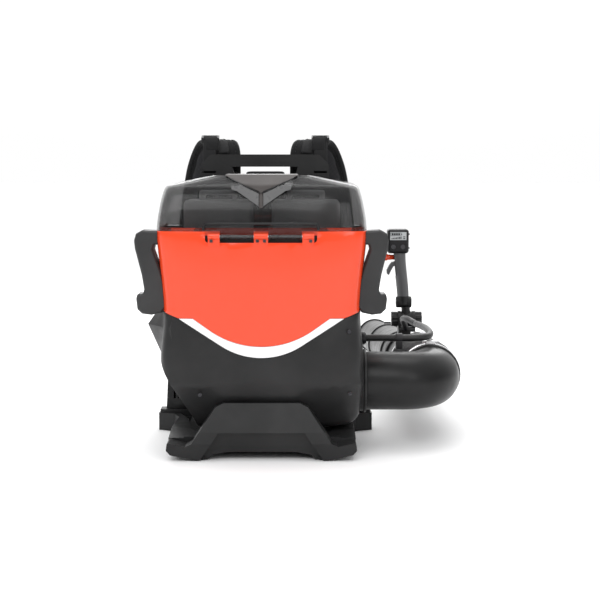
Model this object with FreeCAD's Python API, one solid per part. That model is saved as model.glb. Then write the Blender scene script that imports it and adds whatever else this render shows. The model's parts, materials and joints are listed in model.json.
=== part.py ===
"""Battery backpack leaf blower.

Frame: +X is the wearer's right, +Y is forward (the way the wearer faces and
the way the blower pipe points), +Z is up. The origin is on the floor, in the
middle of the base. All lengths are in millimetres.
"""
import FreeCAD, Part
import math
import os

V = FreeCAD.Vector

# ---------------------------------------------------------------- housing
BODY_HALF = 182.0          # half width of the housing at the lid's edge
LID_EDGE = 393.0           # height of the joint between lid and shell
BODY_TOP = 487.0           # top of the closed lid
BODY_FRONT = 66.0          # wall that faces the back frame
LOFT_FRONT = 200.0         # the lofted form runs on to here and is cut at the front
SHELL_SPLIT = 30.0         # rear shells end here, the front housing starts
BODY_BOTTOM = 44.0         # underside of the housing
WALL = 3.0                 # moulded wall
SEAM = 0.5                 # gap at a parting line
CORNER = 46.0              # size of the housing's rear corners

# height, half width, rear face, from the floor up: a skirt that folds inward
# below the crease, the body, and the lid's crown with a straight slope
SKIRT = (
    (44, 146, -82), (46.5, 155, -89), (51, 163, -95), (58, 169, -100.5),
    (66, 172.5, -105.5), (129, 178.5, -149),
)
BODY = (
    (129, 178.5, -149), (165, 177, -150), (210, 174, -150), (258, 171.5, -150),
    (300, 174, -150.5), (350, 179, -151), (393, 182, -150), (430, 177.5, -146),
    (455, 172, -139), (464, 169, -134.5),
)
CROWN = (
    (464, 169, -134.5), (467.5, 167, -132.5), (470, 163.5, -130), (472, 157, -127.5),
    (487, 93, -104),
)

# trim strip on the rear face: two "smiles" of a line, an arc and a line
STRIP_END = 244.0
STRIP_LOW = (126.0, 177.0, 0.64)     # arc radius, lowest point, leg slope
STRIP_HIGH = (154.0, 196.0, 0.70)
SHELL_LOW_SIDE = 259.0               # shell edge where it meets the sides

FLANK_TOP = 226.0          # where the diagonal cut on the left flank starts

# room that lies outside the whole machine on every side
FAR = 300.0
HIGH = 600.0

# ---------------------------------------------------------------- hinge
HINGE_Y = -150.5
HINGE_Z = 385.0
ROD_R = 2.0
KNUCKLE_R = 5.5
HINGE_HALF = 90.0
RECESS_HALF = 95.0
RECESS_LOW = 374.0
RECESS_CORNER = 6.0
KNUCKLE_GAP = 0.6          # clearance between lid and shell knuckles
KNUCKLE_INNER = 12.0       # half width of the middle knuckle
KNUCKLE_OUTER = 70.0       # where the outer knuckles start
LATCH_Y, LATCH_Z = 69.5, 408.5
LATCH_PIN_R = 1.6

# ---------------------------------------------------------------- fan
FAN_X, FAN_Z = -20.0, 205.0
FAN_Y0, FAN_Y1 = -76.0, 4.0
FAN_MID = -38.0
IMPELLER_R = 88.0
SPIRAL_R0, SPIRAL_R1 = 98.0, 134.0
SHAFT_R = 5.0
BLADES = 11
STATOR_TEETH = 9
INTAKE_R = 72.0

# ---------------------------------------------------------------- batteries
BATTERY_W, BATTERY_D = 118.0, 92.0
BATTERY_X = 76.0
BATTERY_Y = -58.0
TRAY_FLOOR = 346.0
PACK_TOP = 444.0
BAY_GAP = 1.0              # play between a pack and its bay

# ---------------------------------------------------------------- air path
DUCT_Y, DUCT_Z = -38.0, 120.0
DUCT_R = 52.0
DUCT_WALL = 2.5
ELBOW_X = 306.0
ELBOW_BEND = 58.0
ELBOW_START = 183.8
ELBOW_END = 48.0
HOSE_R = 55.4
HOSE_WALL = 3.0
BALL_R = 52.0
PIPE_R = 46.0
PITCH_PIVOT = V(ELBOW_X, 100.0, DUCT_Z)
NOZZLE_R = 45.0
NOZZLE_END = V(264.0, 1150.0, 44.95)
PIPE_LINE = NOZZLE_END.sub(PITCH_PIVOT)
PIPE_LENGTH = PIPE_LINE.Length
YAW_PIVOT_S = 95.0         # distance along the pipe line from the first pivot
JOINTS_S = (430.0, 720.0)  # where the pipe sections plug together
SOCKET_R = 49.5            # widened end that takes the next section
STOP_R = 48.5              # bead that stops a section in its socket
PLUG_GAP = 0.2

# ---------------------------------------------------------------- control handle
HANDLE_S = 320.0
TILT_Z = 177.0
HANDLE_X = 291.0
HANDLE_Y = 419.0
KNOB_R = 15.5
TILT_BOLT_R = 4.0
BAND_GAP = 0.3             # play of the handle band on the pipe
BUTTON_X = (261.0, 281.0)
BUTTON_Z = 331.0
BUTTON_R = 4.6
HEAD_X0, HEAD_X1 = 249.0, 293.5
HEAD_Y0, HEAD_Y1 = 396.0, 434.0
HEAD_Z0, HEAD_Z1 = 317.0, 367.5

# ---------------------------------------------------------------- frame, base
FRAME_Y0, FRAME_Y1 = 122.0, 142.0
FRAME_TOP = 523.0
DECK_Z0, DECK_Z1 = 22.0, 34.0
STRAP_WIDTH = 66.0
STRAP_THICK = 14.0
BUSH_PLACES = ((-100, 108), (100, 108), (-100, 310), (100, 310))
WEB_WIDTH = 25.0
WEB_THICK = 1.8
CONDUIT_R = 6.5
CONDUIT_Y, CONDUIT_Z = 12.0, 190.0
BEND_SHARE = 0.45          # part of the shorter run that a conduit bend takes up
HANDLE_Y0, HANDLE_Y1 = -124.0, -86.0   # depth of the side handles


# ================================================================ helpers
def box(x0, x1, y0, y1, z0, z1):
    return Part.makeBox(x1 - x0, y1 - y0, z1 - z0, V(x0, y0, z0))


def soft_box(x0, x1, y0, y1, z0, z1, radius):
    """A box with every edge rounded."""
    block = box(x0, x1, y0, y1, z0, z1)
    return block.makeFillet(radius, block.Edges)


def cylinder(start, end, radius):
    line = end.sub(start)
    return Part.makeCylinder(radius, line.Length, start, line)


def tube(start, end, outer, inner):
    return cylinder(start, end, outer).cut(cylinder(start, end, inner))


def prism_xz(points, y0, y1):
    """Extrude an outline given as (x, z) pairs from y0 to y1."""
    ring = [V(x, y0, z) for x, z in points]
    face = Part.Face(Part.makePolygon(ring + ring[:1]))
    return face.extrude(V(0, y1 - y0, 0))


def prism_yz(points, x0, x1):
    """Extrude an outline given as (y, z) pairs from x0 to x1."""
    ring = [V(x0, y, z) for y, z in points]
    face = Part.Face(Part.makePolygon(ring + ring[:1]))
    return face.extrude(V(x1 - x0, 0, 0))


def prism_xy(points, z0, z1):
    """Extrude an outline given as (x, y) pairs from z0 to z1."""
    ring = [V(x, y, z0) for x, y in points]
    face = Part.Face(Part.makePolygon(ring + ring[:1]))
    return face.extrude(V(0, 0, z1 - z0))


def turned(profile, axis_point, axis):
    """Turn an outline of (distance along the axis, radius) pairs."""
    ring = [V(r, s, 0) for s, r in profile]
    face = Part.Face(Part.makePolygon(ring + ring[:1]))
    solid = face.revolve(V(0, 0, 0), V(0, 1, 0), 360)
    solid.Placement = FreeCAD.Placement(axis_point, FreeCAD.Rotation(V(0, 1, 0), axis))
    return solid


def mirrored(shape):
    return shape.mirror(V(0, 0, 0), V(1, 0, 0))


def both_sides(shape):
    return [shape, mirrored(shape)]


def joined(shapes):
    """One clean solid from touching or overlapping shapes."""
    return shapes[0].multiFuse(list(shapes[1:])).removeSplitter()


def outline_of_doubles(right_half):
    """A closed symmetric outline from its right half, bottom to top."""
    return right_half + [(-x, z) for x, z in reversed(right_half)]


def rounded_along_y(shape, radius):
    """Round the edges that run along Y."""
    along = [e for e in shape.Edges
             if len(e.Vertexes) == 2
             and abs(e.Vertexes[0].X - e.Vertexes[1].X) < 1e-6
             and abs(e.Vertexes[0].Z - e.Vertexes[1].Z) < 1e-6]
    return shape.makeFillet(radius, along)


def ribbon(points, across, width, thickness):
    """A flat band along the points, ruled from one section to the next."""
    wires = []
    for i, point in enumerate(points):
        ahead = points[min(i + 1, len(points) - 1)]
        behind = points[max(i - 1, 0)]
        along = ahead.sub(behind).normalize()
        side = across.sub(along * across.dot(along)).normalize()
        normal = along.cross(side).normalize()
        corners = []
        for a, b in ((-1, -1), (1, -1), (1, 1), (-1, 1)):
            corners.append(point + side * (a * width / 2) + normal * (b * thickness / 2))
        wires.append(Part.makePolygon(corners + corners[:1]))
    return Part.makeLoft(wires, True, True)


def bent_tube(points, radius):
    """A round tube on straight runs joined by tangent arcs."""
    edges = []
    start = points[0]
    for i in range(1, len(points) - 1):
        back = points[i - 1].sub(points[i])
        on = points[i + 1].sub(points[i])
        turn = math.pi - back.getAngle(on)
        bend = BEND_SHARE * min(back.Length, on.Length) / math.tan(turn / 2)
        reach = bend * math.tan(turn / 2)
        first = points[i] + back.normalize() * reach
        last = points[i] + on.normalize() * reach
        middle = (first + last) * 0.5
        centre_way = middle.sub(points[i]).normalize()
        centre = points[i] + centre_way * (bend / math.cos(turn / 2))
        crown = centre + points[i].sub(centre).normalize() * bend
        edges.append(Part.LineSegment(start, first).toShape())
        edges.append(Part.Arc(first, crown, last).toShape())
        start = last
    edges.append(Part.LineSegment(start, points[-1]).toShape())
    path = Part.Wire(edges)
    section = Part.Wire(Part.makeCircle(radius, points[0], points[1].sub(points[0])))
    return path.makePipeShell([section], True, False)


def on_pipe(shape):
    """Move a shape drawn along +Y from the origin onto the pipe line."""
    shape.Placement = FreeCAD.Placement(PITCH_PIVOT, FreeCAD.Rotation(V(0, 1, 0), PIPE_LINE))
    return shape


# ================================================================ housing skin
def skin_section(z, half, rear, front):
    """Straight front and sides, and a crowned rear with soft corners."""
    side = rear + 2.2 * CORNER
    right = [V(half, side, z), V(half, rear + 1.2 * CORNER, z),
             V(half - 0.02 * CORNER, rear + 0.42 * CORNER, z),
             V(half - 0.45 * CORNER, rear + 0.12 * CORNER, z),
             V(half * 0.45, rear, z)]
    left = [V(-p.x, p.y, p.z) for p in reversed(right)]
    curve = Part.BSplineCurve()
    curve.buildFromPoles(right + [V(0, rear, z)] + left, False, 3)
    corners = [V(half, side, z), V(half, front, z), V(-half, front, z), V(-half, side, z)]
    straight = [Part.LineSegment(corners[i], corners[i + 1]).toShape() for i in range(3)]
    return Part.Wire([curve.toShape()] + list(reversed(straight)))


def skin(inset, front):
    """The housing's outer form, moved inward by inset."""
    parts = []
    for profile, ruled in ((SKIRT, True), (BODY, False), (CROWN, True)):
        wires = []
        for z, half, rear in profile:
            share = (z - BODY_BOTTOM) / (BODY_TOP - BODY_BOTTOM)
            height = z + inset - 2 * inset * share
            wires.append(skin_section(height, half - inset, rear + inset, front))
        parts.append(Part.makeLoft(wires, True, ruled))
    return parts[0].multiFuse(parts[1:])


def smile(shape, shift):
    """Edges of one smile curve, from its left top end to its right top end."""
    radius, low, slope = shape
    lean = math.atan(slope)
    touch_x = radius * math.sin(lean)
    touch_z = low + radius * (1 - math.cos(lean)) + shift
    end_x = touch_x + (STRIP_END - touch_z + shift) / slope
    end_z = STRIP_END + shift
    left = Part.LineSegment(V(-end_x, 0, end_z), V(-touch_x, 0, touch_z))
    arc = Part.Arc(V(-touch_x, 0, touch_z), V(0, 0, low + shift), V(touch_x, 0, touch_z))
    right = Part.LineSegment(V(touch_x, 0, touch_z), V(end_x, 0, end_z))
    return [left.toShape(), arc.toShape(), right.toShape()], end_x, end_z


def region(edges, corners):
    """The Y-deep block bounded by curve edges and then straight runs."""
    runs = [Part.LineSegment(V(a[0], 0, a[1]), V(b[0], 0, b[1])).toShape()
            for a, b in zip(corners[:-1], corners[1:])]
    wire = Part.Wire(Part.__sortEdges__(edges + runs))
    block = Part.Face(wire).extrude(V(0, 2 * FAR, 0))
    block.translate(V(0, -FAR, 0))
    return block


def shell_region():
    """Everything above the trim strip and its shoulders."""
    edges, x_end, z_end = smile(STRIP_HIGH, SEAM)
    side = SHELL_LOW_SIDE + SEAM
    outer_x = smile(STRIP_LOW, SEAM)[1]
    corners = [(x_end, z_end), (outer_x, z_end), (BODY_HALF, side), (FAR, side),
               (FAR, LID_EDGE), (-FAR, LID_EDGE), (-FAR, side),
               (-BODY_HALF, side), (-outer_x, z_end), (-x_end, z_end)]
    return region(edges, corners)


def housing_region():
    """Everything below the trim strip and its shoulders."""
    edges, x_end, z_end = smile(STRIP_LOW, -SEAM)
    side = SHELL_LOW_SIDE - SEAM
    corners = [(x_end, z_end), (BODY_HALF, side), (FAR, side), (FAR, 0),
               (-FAR, 0), (-FAR, side), (-BODY_HALF, side), (-x_end, z_end)]
    return region(edges, corners)


def strip_region():
    """The band between the two smiles."""
    low, low_x, low_z = smile(STRIP_LOW, 0)
    high, high_x, high_z = smile(STRIP_HIGH, 0)
    runs = [Part.LineSegment(V(a, 0, low_z), V(b, 0, high_z)).toShape()
            for a, b in ((low_x, high_x), (-low_x, -high_x))]
    wire = Part.Wire(Part.__sortEdges__(low + high + runs))
    block = Part.Face(wire).extrude(V(0, FAR, 0))
    block.translate(V(0, -FAR, 0))
    return block


def flank_line(inset):
    """The diagonal that cuts the left of the lower housing, moved inward."""
    return [(-202 + inset, FLANK_TOP), (-167 + inset, 147), (-120 + inset, 63),
            (-111 + inset, 40)]


def beyond_flank(inset):
    """Everything to the left of the diagonal."""
    return prism_xz(flank_line(inset) + [(-FAR, 40), (-FAR, FLANK_TOP)], -FAR, FAR)


def side_wing(inset):
    """The flared left corner of the lower housing, solid."""
    rear = [(-150, 254), (-156, FLANK_TOP), (-150, 178), (-136, 178), (-136, 254)]
    edge = [(-179 + inset, 258.5 - inset), (-202 + inset, FLANK_TOP), (-175.5 + inset, 166),
            (-136, 166), (-136, 258.5 - inset)]
    wires = []
    for outline, y in ((rear, -141 + inset), (edge, -66 + inset), (edge, 24 - inset)):
        ring = [V(x, y, z) for x, z in outline]
        wires.append(Part.makePolygon(ring + ring[:1]))
    return Part.makeLoft(wires, True, True)


def make_walls():
    """The housing as a solid block and as a wall that is open in front."""
    behind_front = box(-FAR, FAR, -FAR, BODY_FRONT, 0, HIGH)
    block = skin(0, LOFT_FRONT)
    cavity = skin(WALL, LOFT_FRONT - 20).Shells[0].copy()
    cavity.reverse()
    hollow = Part.Solid(Part.makeCompound([block.Shells[0], cavity]))
    return block.common(behind_front), hollow.common(behind_front)


def make_housing(outer, walls):
    behind = box(-FAR, FAR, -FAR, SHELL_SPLIT - SEAM, 0, HIGH)
    ahead = box(-FAR, FAR, SHELL_SPLIT, FAR, 0, LID_EDGE - SEAM)

    upper = walls.common(shell_region()).common(behind)
    recess = box(-RECESS_HALF, RECESS_HALF, -200, -120, RECESS_LOW, LID_EDGE + 1)
    upper = upper.cut(rounded_along_y(recess, RECESS_CORNER))
    lugs = []
    knuckles = ((-KNUCKLE_INNER, KNUCKLE_INNER), (KNUCKLE_OUTER, HINGE_HALF),
                (-HINGE_HALF, -KNUCKLE_OUTER))
    for x0, x1 in knuckles:
        barrel = cylinder(V(x0, HINGE_Y, HINGE_Z), V(x1, HINGE_Y, HINGE_Z), KNUCKLE_R)
        lugs.append(barrel)
        lugs.append(box(x0, x1, HINGE_Y - 1.5, HINGE_Y + 4, RECESS_LOW - 8, HINGE_Z))
    upper = joined([upper] + lugs)
    bore = cylinder(V(-FAR, HINGE_Y, HINGE_Z), V(FAR, HINGE_Y, HINGE_Z), ROD_R)
    upper = upper.cut(bore)

    below = outer.common(box(-FAR, FAR, -FAR, BODY_FRONT, 0, FLANK_TOP)).cut(beyond_flank(0))
    flank = below.common(beyond_flank(WALL + 1))
    lower = walls.common(housing_region()).common(behind).cut(beyond_flank(0))
    wing = side_wing(0).cut(side_wing(WALL)).cut(skin(WALL, LOFT_FRONT))
    wing = wing.common(housing_region())
    lower = lower.multiFuse([flank.common(behind), wing])
    outlet = cylinder(V(100, DUCT_Y, DUCT_Z), V(300, DUCT_Y, DUCT_Z), DUCT_R + 2.3)
    lower = lower.cut(outlet)

    strip = walls.common(strip_region()).common(behind)

    face = outer.common(box(-FAR, FAR, BODY_FRONT - WALL, BODY_FRONT, 0, LID_EDGE - SEAM))
    front = walls.common(ahead).fuse(face).cut(beyond_flank(0))
    front = front.fuse(flank.common(ahead))
    intake = cylinder(V(FAN_X, 50, FAN_Z), V(FAN_X, 90, FAN_Z), INTAKE_R)
    latch_slot = box(-11.5, 11.5, 55, 75, 375, 381.5)
    front = front.cut(intake).cut(latch_slot)
    return {"upper_shell": upper, "rear_housing": lower,
            "trim_strip": strip, "front_housing": front}


def make_lid(outer, walls):
    """Hood over the batteries, hinged on the rod at its lower rear edge."""
    above = box(-FAR, FAR, -FAR, FAR, LID_EDGE + SEAM, HIGH)
    front = outer.common(box(-FAR, FAR, BODY_FRONT - WALL, BODY_FRONT, LID_EDGE + SEAM, HIGH))
    hood = joined([walls.common(above), front])
    fingers = []
    near, far = KNUCKLE_INNER + KNUCKLE_GAP, KNUCKLE_OUTER - KNUCKLE_GAP
    for x0, x1 in ((near, far), (-far, -near)):
        barrel = cylinder(V(x0, HINGE_Y, HINGE_Z), V(x1, HINGE_Y, HINGE_Z), KNUCKLE_R)
        leaf = box(x0, x1, HINGE_Y, HINGE_Y + 3.5, HINGE_Z, LID_EDGE + 12)
        fingers.extend([barrel, leaf])
    ears = both_sides(box(25, 30, BODY_FRONT - 0.5, LATCH_Y + 3, LATCH_Z - 4, LATCH_Z + 4))
    hood = joined([hood] + fingers + ears)
    bore = cylinder(V(-100, HINGE_Y, HINGE_Z), V(100, HINGE_Y, HINGE_Z), ROD_R + 0.2)
    latch_bore = cylinder(V(-40, LATCH_Y, LATCH_Z), V(40, LATCH_Y, LATCH_Z),
                          LATCH_PIN_R + 0.15)
    return hood.cut(bore).cut(latch_bore)


def make_badge(outer):
    """Plain V plate over the lid's rear edge, with a spine below it."""
    proud = skin(-1.6, LOFT_FRONT)
    plate = prism_xz([(-62, 510), (-62, 487), (0, 459), (62, 487), (62, 510)], -200, -10)
    spine = prism_xz([(-3, 460.5), (-3, 433), (3, 433), (3, 460.5)], -200, -100)
    mark = joined([plate, spine])
    return proud.cut(outer).common(mark)


def make_latch():
    """Sprung hook on the lid's front, over a lip of the front housing."""
    y = BODY_FRONT + 1.5
    tab = soft_box(-24, 24, y, y + 7, 372, LATCH_Z + 2.5, 2)
    hook = box(-10, 10, BODY_FRONT - 1.2, y + 2, 376.5, 380)
    pin = cylinder(V(-30, LATCH_Y, LATCH_Z), V(30, LATCH_Y, LATCH_Z), LATCH_PIN_R)
    return joined([tab, hook, pin])


# ================================================================ insides
def spiral_points(grow):
    """Outline of the volute, from the cutoff round to the outlet."""
    points = []
    steps = 28
    for i in range(steps + 1):
        turn = math.radians(-40 + 310 * i / steps)
        radius = SPIRAL_R0 + (SPIRAL_R1 - SPIRAL_R0) * i / steps + grow
        points.append(V(FAN_X + radius * math.cos(turn), 0, FAN_Z + radius * math.sin(turn)))
    return points


def volute(grow, y0, y1):
    """Spiral drum with a straight outlet towards +X at its foot."""
    points = spiral_points(grow)
    curve = Part.BSplineCurve()
    curve.interpolate(points)
    first, last = points[0], points[-1]
    corners = [last, V(150, 0, last.z), V(150, 0, first.z + 8), first]
    runs = [Part.LineSegment(corners[i], corners[i + 1]).toShape() for i in range(3)]
    face = Part.Face(Part.Wire(Part.__sortEdges__([curve.toShape()] + runs)))
    drum = face.extrude(V(0, y1 - y0, 0))
    drum.translate(V(0, y0, 0))
    return drum


def make_fan_case():
    shell = volute(0, FAN_Y0, FAN_Y1).cut(volute(-WALL, FAN_Y0 + WALL, FAN_Y1 - WALL))
    mouth = cylinder(V(140, DUCT_Y, DUCT_Z), V(160, DUCT_Y, DUCT_Z), 34)
    shell = shell.cut(mouth)
    eye = cylinder(V(FAN_X, FAN_Y1 - 10, FAN_Z), V(FAN_X, FAN_Y1 + 20, FAN_Z), 60)
    bell = turned([(0, 60), (0, 63), (BODY_FRONT - WALL - FAN_Y1 - 0.6, 70),
                   (BODY_FRONT - WALL - FAN_Y1 - 0.6, 67)], V(FAN_X, FAN_Y1, FAN_Z), V(0, 1, 0))
    hub_hole = cylinder(V(FAN_X, FAN_Y0 - 5, FAN_Z), V(FAN_X, FAN_Y0 + 5, FAN_Z), 12)
    ahead = box(-FAR, FAR, FAN_MID, FAR, 0, HIGH)
    behind = box(-FAR, FAR, -FAR, FAN_MID, 0, HIGH)
    front = joined([shell.common(ahead).cut(eye), bell])
    rear = shell.common(behind).cut(hub_hole)
    cup = tube(V(FAN_X, FAN_Y0 - 44, FAN_Z), V(FAN_X, FAN_Y0, FAN_Z), 44, 41.4)
    rear = joined([rear, cup])
    return {"fan_case_front": front, "fan_case_rear": rear}


def make_impeller():
    centre = V(FAN_X, 0, FAN_Z)
    back = FAN_Y0 + WALL + 4
    front = FAN_Y1 - WALL - 6
    plate = cylinder(centre + V(0, back, 0), centre + V(0, back + 3, 0), IMPELLER_R)
    hub = cylinder(centre + V(0, back, 0), centre + V(0, back + 30, 0), 16)
    ring = tube(centre + V(0, front - 3, 0), centre + V(0, front, 0), IMPELLER_R, 62)
    blades = []
    for i in range(BLADES):
        blade = box(FAN_X + 40, FAN_X + IMPELLER_R - 1, back + 1, front - 1, FAN_Z - 1.2, FAN_Z + 1.2)
        blade.rotate(V(FAN_X + 40, 0, FAN_Z), V(0, 1, 0), 32)
        blade.rotate(centre, V(0, 1, 0), 360 * i / BLADES)
        blades.append(blade)
    rim = cylinder(centre + V(0, back, 0), centre + V(0, front, 0), IMPELLER_R)
    wheel = joined([plate, hub, ring] + blades).common(rim)
    return wheel.cut(cylinder(centre + V(0, -200, 0), centre + V(0, 200, 0), SHAFT_R))


def make_motor():
    """Stator cup, spinning magnet ring, shaft, its nut and two bearings."""
    centre = V(FAN_X, 0, FAN_Z)
    rear = FAN_Y0 - 40

    def disc(y0, y1, outer, inner):
        return tube(centre + V(0, y0, 0), centre + V(0, y1, 0), outer, inner)

    core = disc(rear + 6, FAN_Y0 - 6, 24, 9.4)
    teeth = []
    for i in range(STATOR_TEETH):
        tooth = box(FAN_X + 22, FAN_X + 33, rear + 8, FAN_Y0 - 8, FAN_Z - 5, FAN_Z + 5)
        tooth.rotate(centre, V(0, 1, 0), 360 * i / STATOR_TEETH)
        teeth.append(tooth)
    flange = disc(FAN_Y0 - 6, FAN_Y0, 41.4, 12)
    stator = joined([core, flange] + teeth)
    rotor = joined([disc(rear + 4, FAN_Y0 - 8, 38, 34), disc(rear, rear + 4, 38, SHAFT_R)])
    shaft = cylinder(centre + V(0, rear - 2, 0), centre + V(0, FAN_Y0 + 45, 0), SHAFT_R)
    nut_y = FAN_Y0 + WALL + 34
    flats = [(FAN_X + 9 * math.cos(math.radians(60 * i)),
              FAN_Z + 9 * math.sin(math.radians(60 * i))) for i in range(6)]
    nut = prism_xz(flats, nut_y, nut_y + 6)
    nut = nut.cut(cylinder(centre + V(0, nut_y - 5, 0), centre + V(0, nut_y + 10, 0), SHAFT_R))
    race = SHAFT_R + 0.03
    bearings = [disc(rear + 8, rear + 15, 9.4, race), disc(FAN_Y0 - 5, FAN_Y0 + 2, 12, race)]
    return {"motor_stator": stator, "motor_rotor": rotor, "drive_shaft": shaft,
            "impeller_nut": nut, "fan_bearings": Part.makeCompound(bearings)}


def make_batteries():
    """Two packs that stand in the tray, each with a pull bar on top."""
    nodes = {}
    for name, x in (("battery_left", -BATTERY_X), ("battery_right", BATTERY_X)):
        x0, x1 = x - BATTERY_W / 2, x + BATTERY_W / 2
        y0, y1 = BATTERY_Y - BATTERY_D / 2, BATTERY_Y + BATTERY_D / 2
        low, high = TRAY_FLOOR + 4, PACK_TOP
        block = soft_box(x0, x1, y0, y1, low, high, 7)
        for side in (x0 + 24, x1 - 24):
            block = block.cut(box(side - 3, side + 3, y0 - 1, y0 + 2.5, low + 12, high - 16))
        bar = soft_box(x - 34, x + 34, BATTERY_Y - 11, BATTERY_Y + 11, high - 2, high + 17, 5)
        gap = soft_box(x - 24, x + 24, BATTERY_Y - 30, BATTERY_Y + 30, high - 1, high + 9, 4)
        nodes[name] = joined([block, bar.cut(gap)])
    return nodes


def make_tray():
    """Open bay for both packs, with a wall between them."""
    half = BATTERY_X + BATTERY_W / 2 + BAY_GAP
    y0, y1 = BATTERY_Y - BATTERY_D / 2 - BAY_GAP, BATTERY_Y + BATTERY_D / 2 + BAY_GAP
    top = LID_EDGE - 6
    tray = box(-half - WALL, half + WALL, y0 - WALL, y1 + WALL, TRAY_FLOOR - WALL, top)
    inner = BATTERY_X - BATTERY_W / 2 - BAY_GAP
    for x0, x1 in ((-half, -inner), (inner, half)):
        tray = tray.cut(box(x0, x1, y0, y1, TRAY_FLOOR, top + 1))
    ledge = box(-half - 22, half + 22, y1 + WALL, BODY_FRONT - WALL, top - 3, top)
    return joined([tray, ledge])


def make_terminals():
    """Blade contacts that stand in the bottom of each bay."""
    blades = []
    for x in (-BATTERY_X, BATTERY_X):
        blades.append(box(x - 30, x + 30, BATTERY_Y - 12, BATTERY_Y + 12,
                          TRAY_FLOOR, TRAY_FLOOR + 3.6))
    return Part.makeCompound(blades)


# ================================================================ base and frame
def make_base(clear):
    """Moulded stand: a rear bumper on two feet, runners, a cross bar and a deck."""
    outline = outline_of_doubles([(58, 13.5), (86, 8), (92, 0), (114, 0), (157, 10), (164, 18),
                                  (162, 32), (131, 25), (120, 30), (80, 90), (66, 97)])
    bumper = rounded_along_y(prism_xz(outline, -170, -112), 2.6)
    face = prism_yz([(-112, -1), (-158, -1), (-163, 30), (-158, 49), (-140, 97), (-112, 97)],
                    -200, 200)
    bumper = bumper.common(face)
    recess = prism_xz([(-110, -5), (-74, 48), (74, 48), (110, -5)], -200, -147)
    lean = prism_yz([(-200, -6), (-144, -6), (-152, 49), (-200, 49)], -120, 120)
    bumper = bumper.cut(recess.common(lean))
    plan = [(92, -120), (163, -120), (163, -40), (160, 60), (172, 98), (203, 114), (203, 152),
            (176, 152), (140, 40), (128, -60), (106, -112), (92, -112)]
    runner = prism_xy(plan, 0, 40)
    slope = prism_yz([(-120, 32), (-60, 38), (100, 34), (160, 30), (160, -5), (-120, -5)],
                     60, 230)
    flank = prism_xz([(60, -1), (114, -1), (157, 10), (164, 18), (164, 60), (60, 60)],
                     -200, -40)
    upright = box(60, 206, -40, 200, -1, 60)
    runner = runner.common(slope).common(joined([flank, upright]))
    bar = box(-190, 190, 108, 150, 0, 26)
    deck = box(-136, 136, -118, 112, DECK_Z0, DECK_Z1)
    posts = []
    for x in (-110, 70):
        posts.append(box(x, x + 40, -70, -30, DECK_Z1, BODY_BOTTOM))
        posts.append(box(x, x + 40, 10, 50, DECK_Z1, BODY_BOTTOM))
    stand = joined(both_sides(runner) + [bar, deck, bumper]).cut(clear)
    stand = joined([stand] + posts)
    for pad in pad_places():
        stand = stand.cut(Part.makeCylinder(10, 5, pad))
    return stand


def pad_places():
    """Where the four rubber pads sit in the underside."""
    return [V(103, -140, 0), V(-103, -140, 0), V(188, 135, 0), V(-188, 135, 0)]


def make_foot_pads():
    return Part.makeCompound([Part.makeCylinder(9.8, 5, p) for p in pad_places()])


def make_frame():
    """Upright moulded plate behind the wearer's back, with a carry bar."""
    right = [(150, 26), (190, 26), (188, 60), (184, 150), (158, 210), (126, 280),
             (116, 400), (122, 470), (120, 505), (102, FRAME_TOP)]
    plate = prism_xz(outline_of_doubles(right), FRAME_Y0, FRAME_Y1)
    plate = rounded_along_y(plate, 7)
    grip_gap = prism_xz([(-62, 500), (-50, 462), (50, 462), (62, 500)], 0, 200)
    cuts = [grip_gap]
    cuts.append(rounded_along_y(box(-84, 84, 0, 200, 120, 292), 14))
    cuts.append(rounded_along_y(box(-70, 70, 0, 200, 325, 432), 12))
    cuts.append(rounded_along_y(box(-120, 120, 0, 200, 44, 92), 8))
    for shape in both_sides(box(92, 118, 0, 200, 488, 492)):
        cuts.append(shape)
    lug = prism_xz([(138, 60), (150, 50), (172, 50), (184, 64), (184, 100), (176, 112),
                    (150, 112), (138, 100)], 106, FRAME_Y0)
    lug = rounded_along_y(lug, 2)
    for i in range(3):
        slot = box(154 + 8 * i, 158 + 8 * i, 0, 200, 62, 94)
        cuts.extend(both_sides(slot))
    plate = joined([plate] + both_sides(lug)).cut(cuts[0].multiFuse(cuts[1:]))
    pocket = prism_xz(outline_of_doubles([(140, 100), (172, 100), (170, 145), (108, 280),
                                          (98, 440), (96, 450)]), FRAME_Y0 - 1, FRAME_Y0 + 9)
    inner = prism_xz(outline_of_doubles([(130, 100), (130, 145), (96, 280), (82, 440),
                                         (80, 450)]), FRAME_Y0 - 2, FRAME_Y0 + 10)
    plate = plate.cut(pocket.cut(inner))
    ribs = []
    for z in (180, 240, 300, 360, 420):
        ribs.extend(both_sides(box(96, 122, FRAME_Y0 + 2, FRAME_Y1 - 2, z, z + 3)))
    sills = both_sides(box(128, 200, 112, FRAME_Y1, 26, 40))
    return joined([plate] + ribs + sills)


def make_mounts():
    """Rubber bushes between the housing and the frame."""
    profile = [(0, 4), (0, 15), (16, 11), (40, 11), (56, 15), (56, 4)]
    bushes = [turned(profile, V(x, BODY_FRONT, z), V(0, 1, 0)) for x, z in BUSH_PLACES]
    return Part.makeCompound(bushes)


def make_bolts():
    """Bolts through the bushes, and two in each side handle."""
    bolts = []
    for x, z in BUSH_PLACES:
        stem = cylinder(V(x, BODY_FRONT, z), V(x, FRAME_Y1, z), 4)
        head = cylinder(V(x, FRAME_Y1, z), V(x, FRAME_Y1 + 4, z), 8)
        bolts.append(stem.fuse(head))
    for z in (374.5, 386):
        middle = (HANDLE_Y0 + HANDLE_Y1) / 2
        bolt = cylinder(V(165, middle, z), V(198, middle, z), 2.6)
        bolts.extend(both_sides(bolt))
    return bolts


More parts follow.
